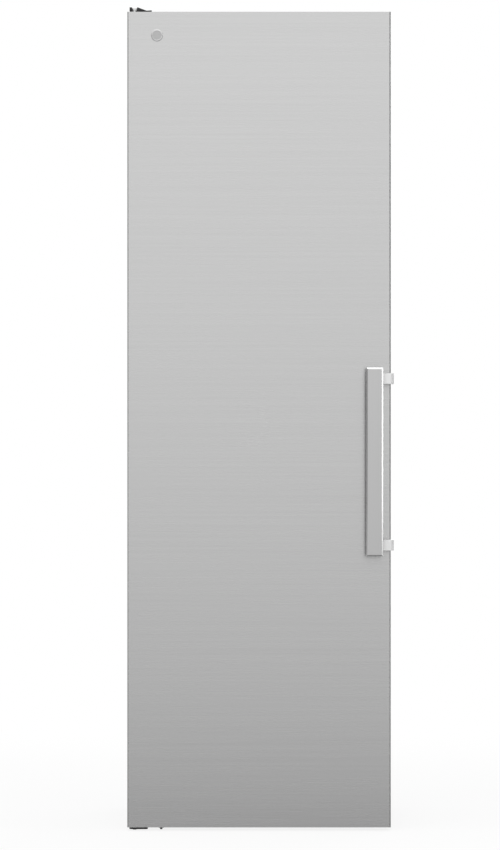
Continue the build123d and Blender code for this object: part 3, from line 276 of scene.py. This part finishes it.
looks = {
    "sidePaint": {"tones": ((0.335, 0.335, 0.345), (0.375, 0.375, 0.385)), "rough": 0.40,
                  "drift": (3.5, 2), "wander": 0.10, "grain": (1400, 2, 0.6), "share": 0.4,
                  "bump": (0.00012, 0.5)},
    "whiteLiner": {"tones": ((0.80, 0.80, 0.795), (0.835, 0.835, 0.83)), "rough": 0.27,
                   "drift": (2.2, 2), "wander": 0.09, "grain": (260, 2), "share": 0,
                   "bump": (0.00006, 0.35)},
    "blackPlastic": {**moulded, "tones": ((0.010, 0.010, 0.011), (0.020, 0.020, 0.021)), "rough": 0.42},
    "greyPlastic": {**moulded, "tones": ((0.30, 0.31, 0.32), (0.36, 0.37, 0.38)), "rough": 0.42},
    "blackRubber": {**moulded, "tones": ((0.014, 0.014, 0.014), (0.030, 0.030, 0.029)), "rough": 0.72},
    "trimWhite": {**moulded, "tones": ((0.78, 0.79, 0.79), (0.83, 0.84, 0.835)), "rough": 0.30,
                  "bump": (0.00003, 0.5)},
    "hingeSteel": {"tones": ((0.62, 0.62, 0.605), (0.76, 0.765, 0.77)), "rough": 0.24,
                   "drift": (70, 3), "wander": 0.12},
    "clearPlastic": {"tones": ((0.925, 0.945, 0.95), (0.97, 0.98, 0.98)), "rough": 0.03,
                     "drift": (18, 3, 0.5, (1, 1, 2.5)), "wander": 0.06},
    "opalDiffuser": {"tones": ((0.84, 0.86, 0.88), (0.92, 0.93, 0.94)), "rough": 0.32,
                     "drift": (1.0, 1, 0.5, (260, 3, 3)), "wander": 0.10},
    "chromeWire": {"tones": ((0.70, 0.70, 0.71), (0.80, 0.80, 0.81)), "rough": 0.06,
                   "drift": (160, 2), "wander": 0.06},
    "gasketGrey": {"tones": ((0.36, 0.36, 0.365), (0.43, 0.43, 0.435)), "rough": 0.50,
                   "drift": (20, 3), "wander": 0.16},
    "zincSheet": {"tones": ((0.47, 0.48, 0.485), (0.57, 0.58, 0.585)), "rough": 0.38,
                  "spangle": 190.0, "share": 0.45, "flakeRough": 0.07, "bump": (0.00002, 0.3),
                  "scuff": (7, 4, 0.5, (1, 1, 3)), "scuffRough": 0.10},
    "foam": {"tones": ((0.62, 0.50, 0.27), (0.76, 0.66, 0.42)), "skin": (14, 4), "cells": 900.0,
             "bump": (0.0005, 0.7)},
    "blackEnamel": {"tones": ((0.010, 0.010, 0.011), (0.16, 0.15, 0.14)), "rough": 0.24,
                    "wave": (120, 2), "waveRough": 0.10, "bump": (0.00008, 0.3),
                    "faceUp": (0.25, 0.95), "dust": (38, 4, 0.7), "dustLeast": 0.25, "dustMore": 0.9,
                    "dustTone": 0.55, "dustRough": 0.28},
    "copper": {"tones": ((0.73, 0.37, 0.22), (0.36, 0.17, 0.10)), "rough": 0.24,
               "patch": (26, 4, 0.65), "patchEdge": (0.42, 0.72), "patchRough": 0.20,
               "drawn": (900, 2), "drawnRough": 0.04},
    "shelfGlass": {"tones": ((0.30, 0.62, 0.52), (0.90, 0.97, 0.95)), "edgeRough": 0.22,
                   "faceRough": 0.015, "face": (0.80, 0.97), "smear": (7, 3), "smearRough": 0.03,
                   "seeThrough": 0.6},
}


def facing(place, axis):  # the surface's own direction, which turns with the piece
    return place.add("SeparateXYZ", {}, {"Vector": place.add("TexCoord", output="Normal")}).out(axis)


def brushed(place, look, streaks="across"):  # a streaked grey and the fine streaks alone
    broadStretch, fineStretch = steel[streaks]
    broad = place.noise(1.0, 3, stretch=broadStretch)
    fine = place.noise(1.0, 2, stretch=fineStretch)
    tone = (broad - 0.5) * 2 * steel["streak"] + (fine - 0.5) * steel["streak"] + 0.5
    return tone.mix((look["grey"] - 0.5,) * 3, (look["grey"] + 0.5,) * 3), fine


def stainless(place):
    look = steel["door"]
    colour, fine = brushed(place, look)
    return {"Base Color": colour, "Roughness": look["rough"] + (fine - 0.5) * steel["spread"],
            "Normal": fine.bump(*look["bump"])}


def handleSteel(place):  # satin faces, polished where the edge is cut at 45 degrees, with a lighter grey painted on the cut as a sheen
    look = steel["handle"]
    colour, fine = brushed(place, look, "upright")
    front = abs(facing(place, "Y"))
    cut = front.ramp(*look["cutFrom"]) * (1 - front.ramp(*look["cutTo"]))
    # painted sheen: the cut faces get a lighter grey; their lower roughness is the real polish
    return {"Base Color": cut.mix(colour, (look["cutSheenGrey"],) * 3),
            "Roughness": look["rough"] + (fine - 0.5) * steel["spread"] - cut * look["polish"]}


def bracketSteel(place):
    look = steel["bracket"]
    colour, fine = brushed(place, look)
    return {"Base Color": colour, "Roughness": look["rough"] + (fine - 0.5) * steel["spread"]}


def satinTrim(place):
    look = steel["trim"]
    return {"Base Color": brushed(place, look)[0], "Roughness": look["rough"]}


def spunBadge(place):  # a bright ring round a darker disc, both turned on a lathe
    look = steel["badge"]
    low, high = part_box("badge")
    middle = (low + high) / 2
    flat = place.add("Mapping", {}, {"Vector": place, "Scale": (1, 0, 1),
                                     "Location": (-middle.x, 0, -middle.z)})
    radius = flat.length()
    turned = place.add("CombineXYZ", {}, {"X": radius}).noise(*look["turning"])
    ring = radius.ramp(*look["innerEdge"])
    grey = ring.between(look["disc"], look["ring"]) + (turned - 0.5) * look["turned"]
    return {"Base Color": place.add("CombineColor", {}, {"Red": grey, "Green": grey, "Blue": grey}),
            "Roughness": ring.between(look["rough"], look["ringRough"])}


def coated(name):  # a slow drift of colour and roughness, and a fine grain where the look has one
    look = looks[name]

    def build(place):
        mask = drift = place.noise(*look["drift"])
        values = {"Roughness": look["rough"] + drift * look["wander"]}
        if "grain" in look:
            grain = place.noise(*look["grain"])
            mask = drift * (1 - look["share"]) + grain * look["share"]
            values["Normal"] = grain.bump(*look["bump"])
        return {**values, "Base Color": mask.mix(*look["tones"])}
    return build


def zincSheet(place):  # spangled galvanised sheet
    look = looks["zincSheet"]
    spangle = place.add("TexVoronoi", {}, {"Vector": place, "Scale": look["spangle"]}, output="Color")
    flake = place.add("SeparateColor", {}, {"Color": spangle})
    scuff = place.noise(*look["scuff"])
    mask = flake * look["share"] + scuff * (1 - look["share"])
    return {"Base Color": mask.mix(*look["tones"]),
            "Roughness": look["rough"] + flake * look["flakeRough"] + scuff * look["scuffRough"],
            "Normal": flake.bump(*look["bump"])}


def foam(place):
    look = looks["foam"]
    skin = place.noise(*look["skin"])
    cells = place.add("TexVoronoi", {}, {"Vector": place, "Scale": look["cells"]})
    return {"Base Color": skin.mix(*look["tones"]), "Normal": cells.bump(*look["bump"])}


def blackEnamel(place):  # a little dust lies on what faces up
    look = looks["blackEnamel"]
    wave = place.noise(*look["wave"])
    dust = look["dustLeast"] + place.noise(*look["dust"]) * look["dustMore"]
    dust = dust * facing(place, "Z").ramp(*look["faceUp"])
    return {"Base Color": (dust * look["dustTone"]).mix(*look["tones"]),
            "Roughness": look["rough"] + wave * look["waveRough"] + dust * look["dustRough"],
            "Normal": wave.bump(*look["bump"])}


def copper(place):  # drawn tube, duller in patches
    look = looks["copper"]
    patch = place.noise(*look["patch"]).ramp(*look["patchEdge"])
    drawn = place.noise(*look["drawn"])
    return {"Base Color": patch.mix(*look["tones"]),
            "Roughness": look["rough"] + patch * look["patchRough"] + drawn * look["drawnRough"]}


def shelfGlass(place):  # ground green edges, and clear faces that let light straight through
    look = looks["shelfGlass"]
    flat = abs(facing(place, "Z")).ramp(*look["face"])
    smear = flat * place.noise(*look["smear"]) * look["smearRough"]
    return {"Base Color": flat.mix(*look["tones"]),
            "Roughness": flat.between(look["edgeRough"], look["faceRough"]) + smear,
            "Alpha": 1 - flat * look["seeThrough"]}


metal = {"Metallic": 1.0}
drawnSteel = {**metal, "Anisotropic": 0.5, "Anisotropic Rotation": 0.25}
glass = {"Transmission Weight": 1.0, "IOR": 1.5}
acrylic = {"Transmission Weight": 0.93, "IOR": 1.42}
lit = {"Emission Strength": 4.0, "Emission Color": (1, 1, 1)}
chalky = {"Roughness": 0.92}
finishes = {
    "stainless": finish("brushedStainless", drawnSteel, stainless),
    "handle_steel": finish("satinHandle", metal, handleSteel),
    "bracket_steel": finish("castBracket", {"Metallic": 0.55}, bracketSteel),
    "spun_badge": finish("spunBadge", metal, spunBadge),
    "satin_trim": finish("satinAluminium", metal, satinTrim),
    "side_paint": finish("sidePaint", {"Specular IOR Level": 0.3}, coated("sidePaint")),
    "zinc_steel": finish("zincSheet", {"Metallic": 0.85}, zincSheet),
    "white_liner": finish("whiteLiner", {}, coated("whiteLiner")),
    "foam": finish("foam", chalky, foam),
    "door_foam": finish("doorFoam", chalky, foam),
    "black_enamel": finish("blackEnamel", {}, blackEnamel),
    "black_plastic": finish("blackPlastic", {}, coated("blackPlastic")),
    "grey_plastic": finish("greyPlastic", {}, coated("greyPlastic")),
    "black_rubber": finish("blackRubber", {}, coated("blackRubber")),
    "trim_white": finish("trimWhite", {}, coated("trimWhite")),
    "hinge_steel": finish("hingeSteel", metal, coated("hingeSteel")),
    "copper": finish("copper", metal, copper),
    "clear_glass": finish("shelfGlass", glass, shelfGlass),
    "clear_plastic": finish("clearPlastic", acrylic, coated("clearPlastic")),
    "opal": finish("opalDiffuser", lit, coated("opalDiffuser")),
    "chrome_wire": finish("chromeWire", metal, coated("chromeWire")),
    "gasket_grey": finish("gasketGrey", {}, coated("gasketGrey")),
}
slotOf = {row["node"]: row["material_slot"] for row in frame["record"]["subparts"]}
bodyOf = {node: body for body, members in behaviour["bodies"].items() for node in members}
for name, node in nodes.items():
    node.data.materials.clear()
    node.data.materials.append(finishes[slotOf[name]])
print("finishes on")


# Making pieces
merging = {"points": 0.00001, "finePoints": 0.000002}     # metres between points that become one
smoothing = {"flat": 0.5, "smooth": 32, "edge": 40}        # degrees between neighbouring faces


def addPiece(name, mesh, slot, body, stands=(), smooth=smoothing["smooth"], ownFinish=None):
    data = bpy.data.meshes.new(name)
    mesh.to_mesh(data)
    mesh.free()
    data.shade_smooth()
    data.set_sharp_from_angle(angle=radians(smooth))
    data.materials.append(finishes[ownFinish or slot])
    piece = bpy.data.objects.new(name, data)
    scene.collection.objects.link(piece)
    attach(piece, body)
    if stands:
        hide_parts(*stands)
    return piece


def closed(mesh, distance=0.0):  # merges the seams, then turns every face outwards
    if distance:
        bmesh.ops.remove_doubles(mesh, verts=mesh.verts, dist=distance)
    bmesh.ops.recalc_face_normals(mesh, faces=mesh.faces)
    return mesh


def standing(place, towards):  # takes what is made upright at the origin to its seat
    return Matrix.Translation(place) @ Vector(towards).to_track_quat("Z", "Y").to_matrix().to_4x4()


def rod(mesh, start, end, diameter, segments, endDiameter=None):
    start, end = Vector(start), Vector(end)
    bmesh.ops.create_cone(mesh, cap_ends=True, segments=segments, radius1=diameter / 2,
                          radius2=(endDiameter or diameter) / 2, depth=(end - start).length,
                          matrix=standing((start + end) / 2, end - start))


def lathe(mesh, outline, place, towards, steps):  # (radius, height) points spun into a solid
    turn = standing(place, towards)
    verts = [mesh.verts.new(turn @ Vector((radius, 0, height))) for radius, height in outline]
    edges = [mesh.edges.new(pair) for pair in zip(verts, verts[1:])]
    bmesh.ops.spin(mesh, geom=verts + edges, cent=place, axis=towards, angle=2 * pi, steps=steps,
                   use_merge=True)


# The nodes' own forms, merged, with their corners just broken
edgeWidths = {  # 0 leaves the corners as they are
    "cabinet_shell": 0, "back_panel": 0, "base_pan": 0, "inner_liner": 0, "door_skin": 0, "door_liner": 0,
    "door_end_caps": 0.0008, "top_hinge_cover": 0.0007, "top_hinge_bracket": 0.0004,
    "bottom_hinge_bracket": 0.0005, "handle_brackets": 0.0008, "handle_bar": 0.0003, "compressor": 0,
    "terminal_cover": 0.0008, "drain_pan": 0.0004, "drain_tube": 0, "compressor_rail": 0.0003,
    "compressor_mounts": 0.0006, "rear_rollers": 0.0003, "condenser_clips": 0.0006, "filter_drier": 0,
    "refrigerant_pipes": 0, "air_duct_panel": 0.0005, "fan_motor": 0.0004, "fan_blade": 0,
    "control_housing": 0.0006, "temperature_dial": 0.0002, "lamp_cover": 0.0005, "humidity_slider": 0.0003,
    "crisper_cover": 0.0006, "crisper_cover_trim": 0.0006, "bottle_rack": 0, "left_crisper": 0.0006,
    "right_crisper": 0.0006, "evaporator": 0, "badge": 0.0003,
}
for n in range(1, 5):
    edgeWidths[f"glass_shelf_{n}"] = 0.0006
    edgeWidths[f"shelf_trim_{n}"] = 0.0006
for n in range(1, 6):
    edgeWidths[f"door_bin_{n}"] = 0.0006
ownFinishes = {"handle_brackets": "bracket_steel", "badge": "spun_badge"}


def softened(node, width):
    mesh = bmesh.new()
    mesh.from_mesh(nodes[node].data)
    bmesh.ops.remove_doubles(mesh, verts=mesh.verts, dist=merging["points"])
    bmesh.ops.dissolve_limit(mesh, angle_limit=radians(smoothing["flat"]), verts=mesh.verts,
                             edges=mesh.edges, delimit={"NORMAL"})
    piece = addPiece(node + "_form", mesh, slotOf[node], bodyOf[node], [node],
                     ownFinish=ownFinishes.get(node))
    if width:
        edge = piece.modifiers.new("softEdge", "BEVEL")
        edge.width, edge.segments = width, 2
        edge.limit_method, edge.angle_limit = "ANGLE", radians(smoothing["edge"])
        edge.harden_normals = True


for node, width in edgeWidths.items():
    softened(node, width)
print("forms softened")


# Door gasket: a base, a narrow neck and the soft bulb that meets the cabinet
gasket = {"width": 0.016, "base": 0.0025, "neck": 0.0055, "bulb": 0.011, "bulbDepth": 0.0052,
          "round": 0.0016, "ease": 0.0004, "smooth": 50}


def sweptFrame(profile, low, high):  # profile points (in from the edge, y) carried round a rectangle
    mesh = bmesh.new()
    rings = []
    for inward, y in profile:
        corners = [(low.x + inward, low.z + inward), (high.x - inward, low.z + inward),
                   (high.x - inward, high.z - inward), (low.x + inward, high.z - inward)]
        verts = [mesh.verts.new((x, y, z)) for x, z in corners]
        rings.append([mesh.edges.new((verts[i], verts[i - 1])) for i in range(4)])
    for ring, following in zip(rings, rings[1:] + rings[:1]):
        bmesh.ops.bridge_loops(mesh, edges=ring + following)
    return closed(mesh)


low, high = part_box("door_gasket")
back, front = low.y, high.y
half, neck, bulb = gasket["width"] / 2, gasket["neck"] / 2, gasket["bulb"] / 2
ease, rounding = gasket["ease"], gasket["round"]
step, shoulder = back + gasket["base"], front - gasket["bulbDepth"]
side = [(half - 1.5 * ease, back), (half, back + 2 * ease), (neck + 5 * ease, step), (neck, step + ease),
        (neck - 2 * ease, (step + shoulder) / 2), (neck + 0.75 * ease, shoulder),
        (bulb - 1.5 * ease, shoulder + ease), (bulb, shoulder + rounding), (bulb - ease, front - rounding),
        (bulb - rounding, front - 0.75 * ease), (5 * ease, front)]
profile = [(half + out, y) for out, y in side] + [(half - out, y) for out, y in reversed(side)]
addPiece("gasket_profile", sweptFrame(profile, low, high), "gasket_grey", "door", ["door_gasket"],
         gasket["smooth"])
print("gasket swept")


# Condenser: one tube wound to and fro, with upright wires welded to both sides
coil = {"runs": 19, "high": 1.640, "low": 0.350, "half": 0.245, "riser": 0.258, "plane": 0.3345,
        "tube": 0.005, "tubeDetail": 3, "corner": 0.014, "cornerSteps": 8, "joint": 0.253,
        "wires": 62, "wire": 0.0014, "wireSides": 8, "wireHalf": 0.1905, "smooth": 40,
        "turnShare": 0.49, "pastShare": 0.33, "weldShare": 0.4}  # of the pitch, and of a wire's thickness


def roundedLine(name, points, radii, diameter):  # straight runs joined by quarter turns, as a tube
    line = [Vector(points[0])]
    for n in range(1, len(points) - 1):
        point = Vector(points[n])
        before = (Vector(points[n - 1]) - point).normalized()
        after = (Vector(points[n + 1]) - point).normalized()
        radius = radii[n - 1]
        centre = point + (before + after) * radius
        for part in range(coil["cornerSteps"] + 1):
            angle = part / coil["cornerSteps"] * pi / 2
            line.append(centre - after * radius * cos(angle) - before * radius * sin(angle))
    line.append(Vector(points[-1]))
    curve = bpy.data.curves.new(name, "CURVE")
    curve.dimensions, curve.use_fill_caps = "3D", True
    curve.bevel_depth, curve.bevel_resolution = diameter / 2, coil["tubeDetail"]
    spline = curve.splines.new("POLY")
    spline.points.add(len(line) - 1)
    for target, place in zip(spline.points, line):
        target.co = (*place, 1)
    holder = bpy.data.objects.new(name, curve)
    mesh = bmesh.new()
    mesh.from_mesh(bpy.data.meshes.new_from_object(holder))
    bpy.data.objects.remove(holder)
    return closed(mesh, merging["points"])


pitch = (coil["high"] - coil["low"]) / (coil["runs"] - 1)
plane = coil["plane"]
points = [(coil["riser"], plane, coil["joint"]), (coil["riser"], plane, coil["high"])]
radii = [coil["corner"]]
for run in range(coil["runs"]):
    z = coil["high"] - run * pitch
    side = -1 if run % 2 == 0 else 1
    if run:
        points.append((-side * coil["half"], plane, z))
        radii.append(pitch * coil["turnShare"])
    points.append((side * coil["half"], plane, z))
    radii.append(pitch * coil["turnShare"])
points.append((-coil["half"], plane, coil["joint"]))
mesh = roundedLine("coil", points, radii, coil["tube"])
past = pitch * coil["pastShare"]
for n in range(coil["wires"]):
    x = -coil["wireHalf"] + 2 * coil["wireHalf"] * n / (coil["wires"] - 1)
    for side in (-1, 1):
        y = plane + side * (coil["tube"] + coil["wire"] * coil["weldShare"]) / 2
        rod(mesh, (x, y, coil["low"] - past), (x, y, coil["high"] + past), coil["wire"], coil["wireSides"])
addPiece("condenser_coil", mesh, "black_enamel", "cabinet", ["condenser"], coil["smooth"])
print("condenser wound")


# Screws: a domed head with a six-lobe recess, on a plain shank
screw = {"segments": 24, "shankSegments": 16, "smooth": 38,
         "rim": 0.55, "dome": ((0.86, 0.30), (0.72, 0.15)),     # each step narrower and higher
         "lobes": 6, "lobe": 0.74, "recess": 0.55, "depth": 0.55}  # shares of the radius and the height


def risen(mesh, ring):  # extrudes a closed ring of vertices and gives the new ring
    edges = [e for e in mesh.edges if all(v in ring for v in e.verts)]
    up = bmesh.ops.extrude_edge_only(mesh, edges=edges)
    return [g for g in up["geom"] if isinstance(g, bmesh.types.BMVert)]


def screwHead(mesh, place, towards, diameter, height):
    ring = bmesh.ops.create_circle(mesh, cap_ends=True, radius=diameter / 2,
                                   segments=screw["segments"])["verts"]
    made = list(ring)
    ring = risen(mesh, ring)
    bmesh.ops.translate(mesh, verts=ring, vec=(0, 0, height * screw["rim"]))
    made += ring
    for shrink, rise in screw["dome"]:
        ring = risen(mesh, ring)
        bmesh.ops.scale(mesh, verts=ring, vec=(shrink, shrink, 1))
        bmesh.ops.translate(mesh, verts=ring, vec=(0, 0, height * rise))
        made += ring
    ring = risen(mesh, ring)  # the star's outline
    for v in ring:
        arm = v.co.xy
        wave = 0.5 - 0.5 * cos(screw["lobes"] * arm.angle_signed(Vector((1, 0)), 0))
        share = screw["recess"] * (1 - (1 - screw["lobe"]) * wave)
        v.co.xy = arm.normalized() * diameter / 2 * share
    made += ring
    ring = risen(mesh, ring)  # its floor
    bmesh.ops.translate(mesh, verts=ring, vec=(0, 0, -height * screw["depth"]))
    made += ring
    bmesh.ops.edgenet_fill(mesh, edges=[e for e in mesh.edges if all(v in ring for v in e.verts)])
    bmesh.ops.transform(mesh, matrix=standing(place, towards), verts=made)


def screwSet(name, body, seats, size, stands=()):  # seats are pairs: a place and the head's direction
    mesh = bmesh.new()
    for place, towards in seats:
        screwHead(mesh, place, towards, size["head"], size["height"])
        tip = Vector(place) - Vector(towards) * size["length"]
        rod(mesh, tip, place, size["shank"], screw["shankSegments"])
    addPiece(name, closed(mesh), "hinge_steel", body, stands, screw["smooth"])


pivot = Vector(next(j for j in behaviour["joints"] if j["name"] == "door_swing")["pos_m"])
hingeScrew = {"head": 0.010, "height": 0.003, "shank": 0.005, "length": 0.016,
              "upper": ((0.003, 0.068), (0.030, 0.068), (0.0165, 0.113)),  # right of the pivot, behind it
              "lower": (0.025, 0.045, 0.065), "lowerBehind": 0.045,
              "upperSeat": 1.846, "lowerHeight": 0.048}
seats = [((pivot.x + right, pivot.y + behind, hingeScrew["upperSeat"]), (0, 0, 1))
         for right, behind in hingeScrew["upper"]]
seats += [((pivot.x + right, pivot.y + hingeScrew["lowerBehind"], hingeScrew["lowerHeight"]), (0, -1, 0))
          for right in hingeScrew["lower"]]
screwSet("hinge_screw_set", "cabinet", seats, hingeScrew, ["hinge_screws"])

handleScrew = {"head": 0.0078, "height": 0.003, "shank": 0.005, "length": 0.011,
               "heights": (0.6455, 1.0205), "barX": (0.259, 0.271), "barSeat": -0.3265,
               "sideY": (-0.2885, -0.2725), "sideSeat": 0.3005}
seats = []
for z in handleScrew["heights"]:
    seats += [((x, handleScrew["barSeat"], z), (0, 1, 0)) for x in handleScrew["barX"]]
    seats += [((handleScrew["sideSeat"], y, z), (1, 0, 0)) for y in handleScrew["sideY"]]
screwSet("handle_screw_set", "door", seats, handleScrew, ["handle_screws"])

panelScrew = {"head": 0.0085, "height": 0.0022, "shank": 0.004, "length": 0.006,
              "sideX": 0.286, "sideHeights": (0.262, 0.74, 1.26, 1.80), "topX": 0.12, "topHeight": 1.818}
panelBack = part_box("back_panel")[1].y
seats = [((side * panelScrew["sideX"], panelBack, z), (0, 1, 0))
         for side in (-1, 1) for z in panelScrew["sideHeights"]]
seats += [((side * panelScrew["topX"], panelBack, panelScrew["topHeight"]), (0, 1, 0)) for side in (-1, 1)]
screwSet("panel_screw_set", "cabinet", seats, panelScrew)
print("screws cut")


# Plugs in the back panel's foaming holes, and the dots that grow round the dial
plug = {"x": 0.15, "z": 1.745, "steps": 40,
        "outline": ((0, -0.002), (0.020, -0.002), (0.022, 0), (0.0222, 0.0012), (0.0210, 0.0024),
                    (0.0150, 0.0028), (0.0142, 0.0018), (0, 0.0016))}
mesh = bmesh.new()
for side in (-1, 1):
    lathe(mesh, plug["outline"], (side * plug["x"], panelBack, plug["z"]), (0, 1, 0), plug["steps"])
addPiece("foam_plugs", closed(mesh, merging["finePoints"]), "grey_plastic", "cabinet")

dots = {"radius": 0.0165, "sizes": (0.0004, 0.00055, 0.0007, 0.00085, 0.0010), "spread": 32,
        "sunk": -0.0003, "proud": 0.00012, "steps": 20}
mesh = bmesh.new()
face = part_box("control_housing")[0].y
low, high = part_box("temperature_dial")
for n, size in enumerate(dots["sizes"]):
    angle = radians(dots["spread"] * (1 - n / 2))
    place = (dots["radius"] * cos(angle), face, (low.z + high.z) / 2 + dots["radius"] * sin(angle))
    outline = ((0, dots["sunk"]), (size, dots["sunk"]), (size, dots["proud"]), (0, dots["proud"]))
    lathe(mesh, outline, place, (0, -1, 0), dots["steps"])
addPiece("dial_dots", closed(mesh, merging["finePoints"]), "black_plastic", "cabinet")
print("plugs and dots set")


# Hinge pins: the upper one with a square head, the lower one with a collar
pin = {"head": 0.0115, "height": 0.006, "broken": 0.0006, "shaft": 0.008, "upperLength": 0.015,
       "lowerTop": 0.0185, "collar": 0.014, "collarFrom": 0.0055, "collarTo": 0.0075, "segments": 32}
mesh = bmesh.new()
low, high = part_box("hinge_pins")
armTop = high.z - pin["height"]
turn = Matrix.Translation((pivot.x, pivot.y, armTop + pin["height"] / 2))
size = Matrix.Diagonal((pin["head"], pin["head"], pin["height"], 1))
block = bmesh.ops.create_cube(mesh, size=1, matrix=turn @ size)
edges = [e for e in mesh.edges if all(v in block["verts"] for v in e.verts)]
bmesh.ops.bevel(mesh, geom=edges, offset=pin["broken"], affect="EDGES", segments=2, profile=0.5,
                material=-1)
for start, end, diameter in ((armTop - pin["upperLength"], armTop, pin["shaft"]),
                             (low.z, pin["lowerTop"], pin["shaft"]),
                             (pin["collarFrom"], pin["collarTo"], pin["collar"])):
    rod(mesh, (pivot.x, pivot.y, start), (pivot.x, pivot.y, end), diameter, pin["segments"])
addPiece("hinge_pin_set", closed(mesh), "hinge_steel", "cabinet", ["hinge_pins"])
print("pins set")


# Feet: threaded studs, and a finger disc under the right one
thread = {"pitch": 0.00125, "depth": 0.0007, "steps": 24,
          "end": 0.0012, "lowerShare": 0.86, "upperShare": 0.9}     # the cones that close both ends
disc = {"outline": ((0, 0), (0.0178, 0), (0.0180, 0.0008), (0.0180, 0.0052), (0.0160, 0.0078),
                    (0.0075, 0.0080), (0, 0.0080)),
        "steps": 48, "scallops": 12, "scallopDepth": 0.045, "scallopFrom": 0.015,
        "stud": 0.010, "studFrom": 0.0078}


def threadedRod(mesh, x, y, bottom, top, diameter):  # a zigzag spun one turn while it climbs one pitch
    outer, inner = diameter / 2, diameter / 2 - thread["depth"]
    verts = []
    for n in range(int((top - bottom) / thread["pitch"]) - 1):
        z = bottom + n * thread["pitch"]
        verts.append(mesh.verts.new((x + inner, y, z)))
        verts.append(mesh.verts.new((x + outer, y, z + thread["pitch"] / 2)))
    edges = [mesh.edges.new(pair) for pair in zip(verts, verts[1:])]
    bmesh.ops.spin(mesh, geom=verts + edges, cent=(x, y, 0), axis=(0, 0, 1), angle=2 * pi,
                   dvec=(0, 0, thread["pitch"] / thread["steps"]), steps=thread["steps"],
                   use_merge=False, use_duplicate=False)
    for start, end in ((bottom, bottom + thread["end"]), (top - thread["end"], top)):
        rod(mesh, (x, y, start), (x, y, end), diameter * thread["lowerShare"], thread["steps"],
            diameter * thread["upperShare"])
    return closed(mesh, merging["finePoints"])


low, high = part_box("left_foot")
middle = (low + high) / 2
stud = threadedRod(bmesh.new(), middle.x, middle.y, low.z, high.z, high.x - low.x)
addPiece("left_foot_stud", stud, "black_plastic", "left_foot", ["left_foot"])

low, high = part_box("right_foot")
middle = (low + high) / 2
mesh = bmesh.new()
lathe(mesh, disc["outline"], (middle.x, middle.y, 0), (0, 0, 1), disc["steps"])
for v in mesh.verts:  # scallops for the fingers
    arm = v.co.xy - middle.xy
    if arm.length > disc["scallopFrom"]:
        wave = max(0, cos(disc["scallops"] * Vector((1, 0)).angle_signed(arm, 0)))
        v.co.xy = middle.xy + arm * (1 - disc["scallopDepth"] * wave)
threadedRod(mesh, middle.x, middle.y, disc["studFrom"], high.z, disc["stud"])
addPiece("right_foot_disc", mesh, "black_plastic", "right_foot", ["right_foot"])
print("feet threaded")
